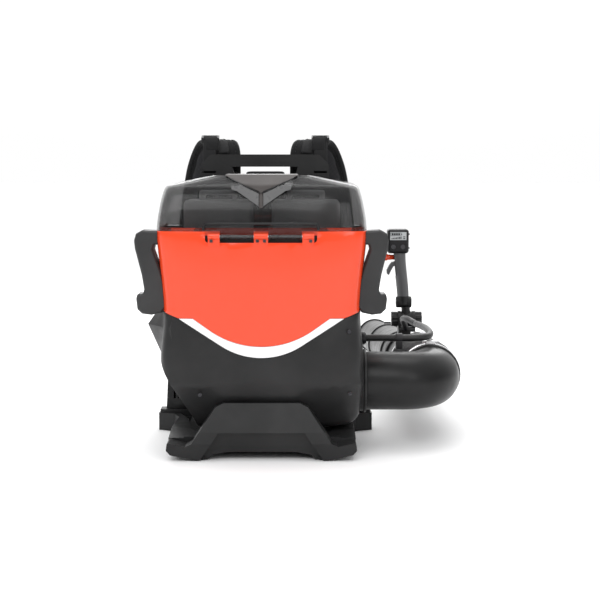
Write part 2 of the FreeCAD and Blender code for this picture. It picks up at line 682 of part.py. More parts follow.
# ================================================================ harness
def strap_points():
    """Centre line of the right shoulder strap, from its top anchor down."""
    return [V(80, 157, 470), V(80, 157, 500), V(80, 159, 518), V(83, 167, 534), V(89, 181, 543),
            V(98, 197, 540), V(110, 214, 522), V(122, 229, 490), V(130, 238, 450),
            V(137, 243, 405), V(142, 242, 350), V(145, 235, 300), V(147, 226, 265)]


def make_straps():
    pad = ribbon(strap_points(), V(1, 0, 0), STRAP_WIDTH, STRAP_THICK)
    return {"shoulder_strap_right": pad, "shoulder_strap_left": mirrored(pad)}


def make_back_pad():
    """Pad in front of the frame, with a narrow tongue up between the straps."""
    near, far = FRAME_Y1 + 4.5, FRAME_Y1 + 27
    body = soft_box(-104, 104, near, far, 186, 440, 8)
    tongue = soft_box(-42, 42, near, far, 400, 500, 8)
    return joined([body, tongue])


def make_webbing():
    """Lower strap ends and the load lifters at the top of the frame."""
    lower = ribbon([V(147, 223, 254), V(152, 212, 220), V(162, 190, 170), V(172, 166, 122),
                    V(175, 149, 92), V(175, 144, 60)], V(1, 0, 0), WEB_WIDTH, WEB_THICK)
    lifter = ribbon([V(105, 144, 470), V(105, 144, 490), V(105, 145, 520), V(105, 150, 540),
                     V(105, 160, 552)], V(1, 0, 0), WEB_WIDTH, WEB_THICK)
    belt = ribbon([V(106, 294.0, 105), V(80, 300, 104), V(30, 305, 103), V(-30, 305, 103),
                   V(-80, 300, 104), V(-106, 294.0, 105)], V(0, 0, 1), 38, 2)
    return both_sides(lower) + both_sides(lifter) + [belt]


def make_buckles():
    """Ladder locks on the four webbing ends."""
    def lock(x, y, z, height, lean):
        frame = soft_box(x - 17, x + 17, y - 3, y + 3, z, z + height, 1.5)
        for low in (z + 4, z + height / 2 + 1):
            frame = frame.cut(box(x - 13, x + 13, y - 5, y + 5, low, low + height / 2 - 5))
        frame.rotate(V(x, y, z), V(1, 0, 0), lean)
        return frame

    top = lock(105, 159, 551.5, 18, -72)
    low = lock(151, 214, 224, 26, -18)
    return both_sides(top) + both_sides(low)


def make_belt():
    """Hip belt pads and the buckle between them."""
    pad = ribbon([V(126, 150, 112), V(142, 172, 112), V(151, 200, 111), V(147, 235, 109),
                  V(130, 264, 107), V(106, 284, 105)], V(0, 0, 1), 78, 13)
    buckle = soft_box(-34, 34, 306.2, 316, 80, 126, 4)
    return {"hip_belt_right": pad, "hip_belt_left": mirrored(pad), "belt_buckle": buckle}


def make_side_handle(outer_clear):
    """Hooked lifting handle on the right flank."""
    outline = [(172, 392), (204, 394), (215, 388), (218.5, 376), (217, 362),
               (206, 318), (202, 292), (204, 284), (214, 284), (216, 276),
               (214, 258), (206, 250), (190, 248), (172, 252), (163, 264),
               (164, 292), (174, 326), (186, 360), (184, 369), (172, 369)]
    bar = prism_xz(outline, HANDLE_Y0, HANDLE_Y1)
    bar = rounded_along_y(bar, 3.2)
    faces = [e for e in bar.Edges
             if abs(e.BoundBox.YMin - HANDLE_Y0) < 1e-3
             and abs(e.BoundBox.YMax - HANDLE_Y0) < 1e-3]
    bar = bar.makeChamfer(3.0, faces)
    return bar.cut(outer_clear)


# ================================================================ air path
def make_elbow():
    """Rigid bend from the housing's outlet to the hose."""
    start = V(ELBOW_START, DUCT_Y, DUCT_Z)
    bend_in = V(ELBOW_X - ELBOW_BEND, DUCT_Y, DUCT_Z)
    bend_out = V(ELBOW_X, DUCT_Y + ELBOW_BEND, DUCT_Z)
    centre = V(ELBOW_X - ELBOW_BEND, DUCT_Y + ELBOW_BEND, DUCT_Z)
    crown = centre + V(ELBOW_BEND * math.sqrt(0.5), -ELBOW_BEND * math.sqrt(0.5), 0)
    end = V(ELBOW_X, ELBOW_END, DUCT_Z)
    path = Part.Wire([Part.LineSegment(start, bend_in).toShape(),
                      Part.Arc(bend_in, crown, bend_out).toShape(),
                      Part.LineSegment(bend_out, end).toShape()])
    solids = []
    for radius in (DUCT_R, DUCT_R - DUCT_WALL):
        ring = Part.Wire(Part.makeCircle(radius, start, V(1, 0, 0)))
        solids.append(path.makePipeShell([ring], True, False))
    return solids[0].cut(solids[1])


def make_outlet_collar():
    """Ring that carries the elbow in the housing wall."""
    profile = [(0, 49.5), (0, 54), (29, 54), (29, 57), (33.5, 57), (33.5, 49.5)]
    return turned(profile, V(150.3, DUCT_Y, DUCT_Z), V(1, 0, 0))


def ball_end(centre_s, start_s, end_s):
    """Hollow ball zone that a flexible joint of the hose turns on."""
    ball = Part.makeSphere(BALL_R, V(0, centre_s, 0))
    ball = ball.cut(Part.makeSphere(BALL_R - HOSE_WALL, V(0, centre_s, 0)))
    return ball.common(box(-80, 80, start_s, end_s, -80, 80))


def along(s0, s1, outer, inner):
    return tube(V(0, s0, 0), V(0, s1, 0), outer, inner)


def make_hose():
    """The flexible hose as three short lengths that turn on two balls."""
    sleeve = HOSE_R - HOSE_WALL
    rear_parts = [along(-72, -25, HOSE_R, BALL_R + 0.05), along(-28, -25, HOSE_R, 42),
                  ball_end(0, -27, 12)]
    rear = joined(rear_parts)
    rear.translate(PITCH_PIVOT)
    middle = joined([along(-5, 70, HOSE_R, sleeve), along(67, 70, HOSE_R, 42),
                     ball_end(YAW_PIVOT_S, 68, YAW_PIVOT_S + 12)])
    front = along(YAW_PIVOT_S - 5, 150, HOSE_R, sleeve)
    return {"hose_rear": rear, "hose_middle": on_pipe(middle), "hose_front": on_pipe(front)}


def clamp_band(s0):
    """Worm-drive hose clamp: a band and its screw housing."""
    band = along(s0, s0 + 12, HOSE_R + 1.0, HOSE_R)
    saddle = soft_box(-9, 9, s0 - 1, s0 + 13, 50, 62, 1.5)
    saddle = saddle.cut(cylinder(V(0, s0 - 20, 0), V(0, s0 + 30, 0), HOSE_R + 1.0))
    screw = cylinder(V(-14, s0 + 6, 59.6), V(14, s0 + 6, 59.6), 2.4)
    head = cylinder(V(13, s0 + 6, 59.6), V(18, s0 + 6, 59.6), 3.8)
    return joined([band, saddle, screw, head])


def make_clamps():
    rear = clamp_band(-64)
    rear.translate(PITCH_PIVOT)
    return {"hose_clamp_rear": rear, "hose_clamp_front": on_pipe(clamp_band(132))}


def make_pipe():
    """Swivel pipe, middle pipe and nozzle, plugged end to end."""
    inner = PIPE_R - DUCT_WALL
    first, second = JOINTS_S
    end = PIPE_LENGTH
    cuff = HOSE_R - HOSE_WALL - 0.3
    swivel = turned([(126, inner), (126, cuff), (150.4, cuff), (150.4, 54.5), (160, 54.5),
                     (164, PIPE_R), (first - 26, PIPE_R), (first - 24, SOCKET_R),
                     (first + 8, SOCKET_R), (first + 8, PIPE_R + PLUG_GAP), (first, PIPE_R + PLUG_GAP),
                     (first, inner)], V(0, 0, 0), V(0, 1, 0))
    middle = turned([(first + 0.3, inner), (first + 0.3, PIPE_R), (first + 16, PIPE_R),
                     (first + 18, STOP_R), (first + 26, STOP_R), (first + 28, PIPE_R),
                     (second - 26, PIPE_R), (second - 24, SOCKET_R),
                     (second + 8, SOCKET_R), (second + 8, PIPE_R + PLUG_GAP),
                     (second, PIPE_R + PLUG_GAP), (second, inner)], V(0, 0, 0), V(0, 1, 0))
    nozzle = turned([(second + 0.3, inner), (second + 0.3, PIPE_R), (second + 16, PIPE_R),
                     (second + 18, STOP_R), (second + 26, STOP_R), (second + 28, PIPE_R),
                     (second + 70, PIPE_R), (end - 60, 41), (end - 8, 41),
                     (end - 6, NOZZLE_R), (end, NOZZLE_R), (end, 38.5), (end - 60, 38.5),
                     (second + 70, inner)], V(0, 0, 0), V(0, 1, 0))
    hole = cylinder(V(0, 0, 0), V(0, end, 0), PIPE_R + PLUG_GAP)
    lugs = [soft_box(-8, 8, s + 1, s + 9, 46, 53, 1.5).cut(hole) for s in JOINTS_S]
    swivel = joined([swivel, lugs[0]])
    middle = joined([middle, lugs[1]])
    return {"swivel_pipe": on_pipe(swivel), "pipe_middle": on_pipe(middle),
            "nozzle": on_pipe(nozzle)}


def make_conduit():
    """Sheathed cable from the housing to the control handle, by joint."""
    rear = bent_tube([V(180, CONDUIT_Y, CONDUIT_Z), V(304, CONDUIT_Y, CONDUIT_Z),
                      V(306, 78, 195)], CONDUIT_R)
    middle = cylinder(V(0, 26, 76), V(0, 74, 76), CONDUIT_R)
    front = bent_tube([V(0, 166, 76), V(-14, 205, 84), V(-18, 250, 82), V(-6, 292, 60)],
                      CONDUIT_R)
    return {"conduit_rear": rear, "conduit_middle": on_pipe(middle),
            "conduit_front": on_pipe(front)}


def make_gland(outer):
    """Threaded gland where the conduit leaves the housing, and its clip."""
    nut = turned([(0, CONDUIT_R), (0, 11), (3, 12), (9, 12), (12, 9), (12, CONDUIT_R)],
                 V(174.5, CONDUIT_Y, CONDUIT_Z), V(1, 0, 0))
    clip = box(240, 252, 2, 22, 171, 186)
    start, end = V(240, CONDUIT_Y, CONDUIT_Z), V(252, CONDUIT_Y, CONDUIT_Z)
    grip = tube(start, end, CONDUIT_R + 2.5, CONDUIT_R)
    elbow_room = cylinder(V(200, DUCT_Y, DUCT_Z), V(300, DUCT_Y, DUCT_Z), DUCT_R + 0.3)
    hole = cylinder(start, end, CONDUIT_R)
    clip = joined([clip, grip]).cut(elbow_room).cut(hole)
    return Part.makeCompound([nut.cut(outer), clip])


# ================================================================ control handle
def make_bracket():
    """Band round the pipe with two cheeks for the tilt bolt."""
    band = on_pipe(along(HANDLE_S - 28, HANDLE_S + 28, 50.5, PIPE_R + BAND_GAP))
    x, y = HANDLE_X, HANDLE_Y
    foot = soft_box(x - 18, x + 18, y - 22, y + 22, 134, 160, 5)
    cheeks = []
    for x0 in (x - 18, x + 12):
        disc = cylinder(V(x0, y, TILT_Z), V(x0 + 6, y, TILT_Z), 17)
        web = box(x0, x0 + 6, y - 17, y + 17, 152, TILT_Z)
        cheeks.extend([disc, web])
    pipe_room = on_pipe(cylinder(V(0, 200, 0), V(0, 450, 0), PIPE_R + BAND_GAP))
    bracket = joined([band, foot] + cheeks).cut(pipe_room)
    bolt = cylinder(V(x - 30, y, TILT_Z), V(x + 30, y, TILT_Z), TILT_BOLT_R + 0.2)
    return bracket.cut(bolt)


def make_knobs():
    """Scalloped knobs on both ends of the tilt bolt."""
    x, y = HANDLE_X, HANDLE_Y
    parts = [cylinder(V(x - 30, y, TILT_Z), V(x + 30, y, TILT_Z), TILT_BOLT_R)]
    for x0, x1 in ((x - 32, x - 18.3), (x + 18.3, x + 32)):
        knob = cylinder(V(x0, y, TILT_Z), V(x1, y, TILT_Z), KNOB_R)
        for i in range(8):
            turn = math.radians(45 * i)
            centre = V(x0 - 1, y + 18.5 * math.cos(turn), TILT_Z + 18.5 * math.sin(turn))
            knob = knob.cut(cylinder(centre, centre + V(16, 0, 0), 4.6))
        parts.append(knob)
    return joined(parts)


def oval(centre, half_x, half_y, tilt):
    """An upright handle section, an ellipse leaned towards -X by tilt."""
    ellipse = Part.Ellipse(V(0, 0, 0), half_y, half_x)
    wire = Part.Wire(ellipse.toShape())
    wire.rotate(V(0, 0, 0), V(0, 0, 1), 90)
    wire.rotate(V(0, 0, 0), V(0, 1, 0), -tilt)
    wire.translate(centre)
    return wire


def make_grip():
    """Knuckle on the tilt bolt, cross barrel and the hand grip."""
    x, y = HANDLE_X, HANDLE_Y
    knuckle = cylinder(V(x - 11.7, y, TILT_Z), V(x + 11.7, y, TILT_Z), 16)
    neck = Part.makeLoft([oval(V(x, y, 180), 9.5, 13, 0),
                          oval(V(x - 2, y, 203), 9, 12, 6)], True)
    barrel = cylinder(V(x - 22.5, y, 213), V(x + 10.5, y, 213), 12)
    barrel = barrel.makeFillet(3, barrel.Edges)
    sections = [oval(V(x - 6.5, y, 208), 11, 14, 6), oval(V(x - 8.5, y - 1, 240), 12.5, 17, 6),
                oval(V(x - 13, y - 3, 280), 12.5, 17.5, 6), oval(V(x - 17.5, y - 4, 320), 14.5, 18, 6)]
    grip = Part.makeLoft(sections, True)
    bolt = cylinder(V(x - 40, y, TILT_Z), V(x + 40, y, TILT_Z), TILT_BOLT_R + 0.2)
    solid = joined([knuckle, neck, barrel, grip]).cut(bolt)
    head_room = box(HEAD_X0, HEAD_X1, HEAD_Y0, HEAD_Y1, HEAD_Z0, HEAD_Z1)
    for pocket in (thumb_room(), trigger_room(), head_room):
        solid = solid.cut(pocket)
    return solid


def thumb_room():
    return box(245.5, 271, 404.5, 427.5, 299.6, 316.6)


def trigger_room():
    return box(250, 270, 405.5, 424.5, 268, 299.4)


def make_head():
    """Housing of the display and switches on top of the grip."""
    head = soft_box(HEAD_X0, HEAD_X1, HEAD_Y0, HEAD_Y1, HEAD_Z0, HEAD_Z1, 6)
    window = box(HEAD_X0 + 5, HEAD_X1 - 5, HEAD_Y0 - 1, HEAD_Y0 + 1.6, 345, 362)
    seats = [cylinder(V(x, HEAD_Y0 - 1, BUTTON_Z), V(x, HEAD_Y0 + 3, BUTTON_Z), BUTTON_R + 0.4)
             for x in BUTTON_X]
    return head.cut(window).cut(seats[0]).cut(seats[1])


def make_head_parts():
    pane = box(HEAD_X0 + 5.2, HEAD_X1 - 5.2, HEAD_Y0 + 0.2, HEAD_Y0 + 1.6, 345.2, 361.8)
    power, mode = [cylinder(V(x, HEAD_Y0 - 1.6, BUTTON_Z), V(x, HEAD_Y0 + 1.8, BUTTON_Z), BUTTON_R)
                   for x in BUTTON_X]
    thumb = soft_box(237, 266, 406, 426, 300.5, 315.5, 4)
    lever = prism_xz([(268, 298), (259, 298), (253.5, 291), (248.5, 281), (249, 273),
                      (253, 271), (257.5, 281), (262, 289), (268, 291)], 407, 423)
    lever = rounded_along_y(lever, 1.2)
    return {"display_window": pane, "power_button": power, "mode_button": mode,
            "thumb_button": thumb, "throttle_trigger": lever}


# ================================================================ assembly
def make_intake_grille():
    """Round guard with bars over the front intake."""
    y0 = BODY_FRONT
    rim = tube(V(FAN_X, y0, FAN_Z), V(FAN_X, y0 + 5, FAN_Z), 78, 68)
    bars = []
    for i in range(-6, 7):
        half = math.sqrt(70.0 ** 2 - (10.0 * i) ** 2)
        bars.append(box(FAN_X - half, FAN_X + half, y0 + 1, y0 + 4,
                        FAN_Z + 10 * i - 1.4, FAN_Z + 10 * i + 1.4))
    bars.append(box(FAN_X - 2, FAN_X + 2, y0 + 1, y0 + 4, FAN_Z - 70, FAN_Z + 70))
    return joined([rim] + bars)


def make_controller():
    board = soft_box(60, 150, -118, -84, 262, 334, 3)
    fins = [box(66 + 10 * i, 69 + 10 * i, -84, -76, 266, 330) for i in range(8)]
    return joined([board] + fins)


def build():
    outer, walls = make_walls()
    nodes = make_housing(outer, walls)
    clear = skin(-0.4, LOFT_FRONT)
    nodes["battery_lid"] = make_lid(outer, walls)
    nodes["lid_badge"] = make_badge(outer)
    nodes["lid_latch"] = make_latch()
    nodes["hinge_rod"] = cylinder(V(-HINGE_HALF, HINGE_Y, HINGE_Z),
                                  V(HINGE_HALF, HINGE_Y, HINGE_Z), ROD_R)
    nodes["intake_grille"] = make_intake_grille()
    nodes.update(make_fan_case())
    nodes["fan_impeller"] = make_impeller()
    nodes.update(make_motor())
    nodes["battery_tray"] = make_tray()
    nodes["battery_terminals"] = make_terminals()
    nodes.update(make_batteries())
    nodes["controller_module"] = make_controller()
    nodes["base_stand"] = make_base(clear).cut(nodes["rear_housing"])
    nodes["foot_pads"] = make_foot_pads()
    bolts = make_bolts()
    nodes["assembly_bolts"] = Part.makeCompound(bolts)
    nodes["back_frame"] = make_frame().cut(nodes["base_stand"]).cut(bolts)
    nodes["frame_bushes"] = make_mounts()
    nodes["back_pad"] = make_back_pad()
    straps = make_straps()
    nodes.update(straps)
    buckles = [lock.cut(make_webbing()).cut(list(straps.values())) for lock in make_buckles()]
    nodes["strap_buckles"] = Part.makeCompound(buckles)
    webbing = [band.cut(list(straps.values())) for band in make_webbing()]
    nodes["harness_webbing"] = Part.makeCompound(webbing)
    nodes.update(make_belt())
    handle = make_side_handle(clear).cut(bolts)
    nodes["side_handle_right"] = handle
    nodes["side_handle_left"] = mirrored(handle).cut(nodes["rear_housing"])
    nodes["upper_shell"] = nodes["upper_shell"].cut(bolts)
    nodes["outlet_collar"] = make_outlet_collar()
    nodes["elbow"] = make_elbow()
    nodes.update(make_hose())
    nodes.update(make_clamps())
    nodes.update(make_pipe())
    nodes.update(make_conduit())
    nodes["conduit_gland"] = make_gland(outer)
    nodes["handle_bracket"] = make_bracket()
    nodes["tilt_knobs"] = make_knobs()
    nodes["control_grip"] = make_grip()
    nodes["control_head"] = make_head()
    nodes.update(make_head_parts())
    return nodes


os.makedirs("parts", exist_ok=True)
for name, shape in build().items():
    print("%-22s solids %2d  valid %s  volume %9.0f" % (
        name, len(shape.Solids), shape.isValid(), shape.Volume))
    shape.exportStep("parts/%s.step" % name)
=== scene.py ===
"""Looks of the battery backpack blower: materials, soft goods, hose, cable and small parts.

Everything is in metres in the CAD frame: +X the wearer's right, +Y forward, +Z up.
"""
import bpy
import bmesh
import json
import math
from mathutils import Matrix, Vector, noise


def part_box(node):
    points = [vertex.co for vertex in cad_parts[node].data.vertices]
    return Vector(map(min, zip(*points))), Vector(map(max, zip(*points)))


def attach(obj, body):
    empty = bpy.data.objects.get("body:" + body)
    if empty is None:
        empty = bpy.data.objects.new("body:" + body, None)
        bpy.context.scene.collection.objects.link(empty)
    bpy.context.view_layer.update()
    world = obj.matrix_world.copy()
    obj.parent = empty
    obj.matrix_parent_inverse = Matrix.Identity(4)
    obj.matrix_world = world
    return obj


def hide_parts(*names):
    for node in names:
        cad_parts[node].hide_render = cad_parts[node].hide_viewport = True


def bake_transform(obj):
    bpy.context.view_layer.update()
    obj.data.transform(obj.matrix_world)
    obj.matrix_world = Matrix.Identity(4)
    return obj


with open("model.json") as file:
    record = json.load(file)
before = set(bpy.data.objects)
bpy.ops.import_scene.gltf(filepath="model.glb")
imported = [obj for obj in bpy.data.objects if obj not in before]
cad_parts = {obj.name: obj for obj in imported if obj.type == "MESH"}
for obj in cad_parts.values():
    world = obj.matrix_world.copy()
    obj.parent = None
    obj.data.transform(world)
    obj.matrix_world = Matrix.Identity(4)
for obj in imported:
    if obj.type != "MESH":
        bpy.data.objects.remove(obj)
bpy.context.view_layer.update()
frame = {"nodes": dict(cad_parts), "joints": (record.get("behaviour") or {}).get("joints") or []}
NODES = frame["nodes"]
MM = 0.001
# strength of the all-round light: level with the floor, overhead, and from the backdrop
HORIZON, OVERHEAD, BACKDROP = 0.25, 1.0, 0.75

# the pipe line: the hose's pitch pivot and the pipe's direction, as the joints give them
JOINTS = {j["name"]: j for j in frame["joints"]}
PITCH_PIVOT = Vector(JOINTS["hose_pitch"]["pos_m"])
PIPE_DIR = Vector(JOINTS["pipe_swivel"]["axis"]).normalized()
HEAD_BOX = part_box("control_head")
LEVEL = Vector((0, 1, 0)).rotation_difference(PIPE_DIR).to_matrix()


# ================================================================ camera and studio
def make_camera():
    distance, elevation, lens = 2.5, math.radians(6), 82.9
    target = Vector((0.066, 0, 0.261))
    data = bpy.data.cameras.new("camera")
    data.lens = lens
    camera = bpy.data.objects.new("camera", data)
    bpy.context.collection.objects.link(camera)
    back = Vector((0, -math.cos(elevation), math.sin(elevation)))
    camera.location = target + back * distance
    camera.rotation_euler = (-back).to_track_quat("-Z", "Y").to_euler()
    bpy.context.scene.camera = camera


def area_light(name, place, target, size, power):
    data = bpy.data.lights.new(name, "AREA")
    data.shape = "RECTANGLE"
    data.size, data.size_y = size
    data.energy = power
    light = bpy.data.objects.new(name, data)
    bpy.context.collection.objects.link(light)
    light.location = place
    way = Vector(target) - Vector(place)
    light.rotation_euler = way.to_track_quat("-Z", "Y").to_euler()


def make_world():
    """White to the camera; as light it is brighter overhead and from the backdrop (+Y)."""
    world = bpy.data.worlds.new("studio")
    bpy.context.scene.world = world
    world.use_nodes = True
    tree = world.node_tree

    def maths(operation, *values):
        node = tree.nodes.new("ShaderNodeMath")
        node.operation = operation
        for socket, value in zip(node.inputs, values):
            if isinstance(value, (int, float)):
                socket.default_value = value
            else:
                tree.links.new(value, socket)
        return node.outputs[0]

    way = tree.nodes.new("ShaderNodeTexCoord")
    split = tree.nodes.new("ShaderNodeSeparateXYZ")
    tree.links.new(way.outputs["Generated"], split.inputs[0])
    up = maths("MAXIMUM", split.outputs["Z"], 0.0)
    back = maths("MAXIMUM", split.outputs["Y"], 0.0)
    level = maths("MULTIPLY_ADD", up, OVERHEAD, HORIZON)
    level = maths("MULTIPLY_ADD", back, BACKDROP, level)
    path = tree.nodes.new("ShaderNodeLightPath")
    level = maths("MAXIMUM", level, path.outputs["Is Camera Ray"])
    background = tree.nodes["Background"]
    background.inputs["Color"].default_value = (1.0, 1.0, 1.0, 1)
    tree.links.new(level, background.inputs["Strength"])


def make_studio():
    make_world()
    bpy.context.scene.view_settings.view_transform = "Standard"
    area_light("key", (-0.9, -2.9, 2.3), (0, 0, 0.3), (3.4, 1.6), 40)
    area_light("fill", (1.3, -2.8, 1.3), (0.1, 0, 0.25), (0.8, 1.4), 9)
    area_light("top", (0, 0.2, 2.6), (0, 0, 0.3), (2.2, 1.2), 20)
    area_light("back", (0.3, 3.0, 1.6), (0, 0, 0.3), (2.4, 1.2), 30)
    bpy.ops.mesh.primitive_circle_add(vertices=96, radius=24, fill_type="NGON")
    floor = bpy.context.object
    floor.name = "floor"
    floor.location.z = -0.0004
    shader = Shader("floor", (0.95, 0.95, 0.953), 0.8)
    shader.mottle(0.004, 3)
    floor.data.materials.append(shader.material)


# ================================================================ materials
class Shader:
    """A Principled material with procedural colour, roughness and bump."""

    def __init__(self, name, color, roughness, coords="Object", **sockets):
        self.material = bpy.data.materials.new(name)
        self.material.use_nodes = True
        self.tree = self.material.node_tree
        self.surface = self.tree.nodes["Principled BSDF"]
        self.color = color
        self.roughness = roughness
        self.surface.inputs["Base Color"].default_value = (*color, 1)
        self.surface.inputs["Roughness"].default_value = roughness
        for key, value in sockets.items():
            self.surface.inputs[key.replace("_", " ")].default_value = value
        where = self.add("ShaderNodeTexCoord")
        self.where = where.outputs[coords]
        self.normal = None

    def add(self, kind, **settings):
        node = self.tree.nodes.new(kind)
        for key, value in settings.items():
            setattr(node, key, value)
        return node

    def link(self, a, b):
        self.tree.links.new(a, b)

    def noise(self, scale, detail=3.0, stretch=(1, 1, 1)):
        mapping = self.add("ShaderNodeMapping")
        mapping.inputs["Scale"].default_value = stretch
        self.link(self.where, mapping.inputs["Vector"])
        texture = self.add("ShaderNodeTexNoise")
        texture.inputs["Scale"].default_value = scale
        texture.inputs["Detail"].default_value = detail
        self.link(mapping.outputs[0], texture.inputs["Vector"])
        return texture.outputs["Fac"]

    def wave(self, period, direction="X", flip=1, distortion=0.0):
        """Sine bands with their period in metres."""
        mapping = self.add("ShaderNodeMapping")
        mapping.inputs["Scale"].default_value = (1, flip, 1)
        self.link(self.where, mapping.inputs["Vector"])
        texture = self.add("ShaderNodeTexWave", bands_direction=direction)
        texture.inputs["Scale"].default_value = 2 * math.pi / 20 / period
        texture.inputs["Distortion"].default_value = distortion
        self.link(mapping.outputs[0], texture.inputs["Vector"])
        return texture.outputs["Fac"]

    def math(self, operation, a, b):
        node = self.add("ShaderNodeMath", operation=operation)
        for socket, value in zip(node.inputs, (a, b)):
            if isinstance(value, (int, float)):
                socket.default_value = value
            else:
                self.link(value, socket)
        return node.outputs[0]

    def ramp(self, value, stops):
        node = self.add("ShaderNodeValToRGB")
        ramp = node.color_ramp
        while len(ramp.elements) < len(stops):
            ramp.elements.new(0.5)
        for element, (place, color) in zip(ramp.elements, stops):
            element.position = place
            element.color = (*color, 1)
        self.link(value, node.inputs["Fac"])
        return node.outputs["Color"]

    def paint(self, value, dark, light, low=0.3, high=0.7):
        """Base colour between two colours, by a texture value."""
        self.link(self.ramp(value, [(low, dark), (high, light)]), self.surface.inputs["Base Color"])

    def mottle(self, amount, scale, detail=4.0):
        """Slow colour variation about the base colour."""
        dark = [max(c * (1 - amount * 2) - amount * 0.1, 0.001) for c in self.color]
        light = [min(c * (1 + amount * 2) + amount * 0.1, 1) for c in self.color]
        self.paint(self.noise(scale, detail), dark, light)

    def split(self, height, below):
        """Another colour below a height in the object's own frame."""
        parts = self.add("ShaderNodeSeparateXYZ")
        self.link(self.where, parts.inputs[0])
        above = self.math("GREATER_THAN", parts.outputs["Z"], height)
        self.link(self.ramp(above, [(0.4, below), (0.6, self.color)]),
                  self.surface.inputs["Base Color"])

    def rough(self, value, low, high):
        """Roughness between two levels, by a texture value."""
        node = self.add("ShaderNodeMapRange")
        node.inputs["From Min"].default_value = 0.3
        node.inputs["From Max"].default_value = 0.7
        node.inputs["To Min"].default_value = low
        node.inputs["To Max"].default_value = high
        self.link(value, node.inputs["Value"])
        self.link(node.outputs[0], self.surface.inputs["Roughness"])

    def bump(self, value, strength, depth):
        """Bump on top of any bump before it. depth is in metres."""
        node = self.add("ShaderNodeBump")
        node.inputs["Strength"].default_value = strength
        node.inputs["Distance"].default_value = depth
        self.link(value, node.inputs["Height"])
        if self.normal:
            self.link(self.normal, node.inputs["Normal"])
        self.normal = node.outputs[0]
        self.link(self.normal, self.surface.inputs["Normal"])


def moulded(name, color, roughness, grain=0.25, gleam=0.3, foot=None):
    """Moulded plastic: fine spark-eroded grain, faint colour and gloss variation.

    foot is a height and the colour of the material below it.
    """
    shader = Shader(name, color, roughness, Specular_IOR_Level=gleam)
    shader.mottle(0.05, 9)
    if foot:
        shader.split(*foot)
    shader.rough(shader.noise(38, 5), roughness - 0.05, roughness + 0.07)
    shader.bump(shader.noise(1500, 2), grain, 0.0002)
    shader.bump(shader.noise(7, 2), 0.25, 0.0012)
    return shader.material


def glossy(name, color, roughness=0.16):
    """Gloss plastic with a clear top layer and the faint waviness of a moulding."""
    shader = Shader(name, color, roughness, Coat_Weight=0.35, Coat_Roughness=0.06,
                    Specular_IOR_Level=0.4)
    shader.mottle(0.008, 5)
    shader.rough(shader.noise(55, 4), roughness, roughness + 0.05)
    shader.bump(shader.noise(5, 1), 0.12, 0.0010)
    return shader.material


def smoked(name):
    """Smoked clear plastic with hairline scuffs."""
    shader = Shader(name, (0.011, 0.011, 0.0115), 0.09, Alpha=0.46, IOR=1.5,
                    Specular_IOR_Level=0.45)
    shader.mottle(0.04, 7)
    shader.rough(shader.noise(60, 3, (1, 1, 0.12)), 0.09, 0.12)
    shader.bump(shader.noise(3, 0), 0.03, 0.0004)
    return shader.material


def steel(name, color, roughness, stretch=(1, 30, 30)):
    """Bright metal with fine drawn lines."""
    shader = Shader(name, color, roughness, Metallic=1.0)
    shader.mottle(0.06, 40)
    shader.rough(shader.noise(260, 4, stretch), roughness - 0.08, roughness + 0.14)
    shader.bump(shader.noise(300, 3, stretch), 0.12, 0.0001)
    return shader.material


def rubber(name, color, roughness=0.62):
    """Matt rubber or thread with a fine grain."""
    shader = Shader(name, color, roughness, Specular_IOR_Level=0.3)
    shader.mottle(0.12, 30)
    shader.rough(shader.noise(120, 4), roughness - 0.1, roughness + 0.12)
    shader.bump(shader.noise(900, 3), 0.3, 0.0002)
    return shader.material


def woven(name, color, pitch, sheen=0.06, coords="UV", lift=2.2):
    """Plain weave: threads both ways with a slight colour change between them."""
    shader = Shader(name, color, 0.82, coords=coords, Sheen_Weight=sheen, Sheen_Roughness=0.4,
                    Specular_IOR_Level=0.2)
    across = shader.wave(pitch)
    along = shader.wave(pitch, "Z" if coords == "Object" else "Y")
    weave = shader.math("MULTIPLY", across, along)
    fuzz = shader.noise(2600, 2)
    height = shader.math("ADD", weave, shader.math("MULTIPLY", fuzz, 0.35))
    dark = [c * 0.55 for c in color]
    light = [min(c * lift, 1) for c in color]
    shader.paint(height, dark, light, 0.15, 1.0)
    shader.bump(height, 0.55, 0.0004)
    return shader.material


def webbing_material(name, color):
    """Polyester webbing: ribs across and fine cords along."""
    shader = Shader(name, color, 0.7, coords="UV", Sheen_Weight=0.05, Sheen_Roughness=0.35,
                    Specular_IOR_Level=0.25)
    ribs = shader.wave(0.0016, distortion=0.3)
    cords = shader.wave(0.0021, "Y")
    height = shader.math("ADD", shader.math("MULTIPLY", ribs, 0.6), shader.math("MULTIPLY", cords, 0.4))
    shader.paint(height, [c * 0.5 for c in color], [min(c * 2.6, 1) for c in color], 0.1, 1.0)
    shader.bump(height, 0.5, 0.0004)
    return shader.material


def braided(name, color):
    """Fine braided sleeve: two sets of crossing diagonal bundles."""
    shader = Shader(name, color, 0.42, coords="UV", Specular_IOR_Level=0.4)
    left = shader.wave(0.0026, "DIAGONAL")
    right = shader.wave(0.0026, "DIAGONAL", flip=-1)
    height = shader.math("MAXIMUM", left, right)
    shader.paint(height, [c * 0.5 for c in color], [min(c * 1.8, 1) for c in color], 0.35, 1.0)
    shader.bump(height, 0.4, 0.0004)
    return shader.material


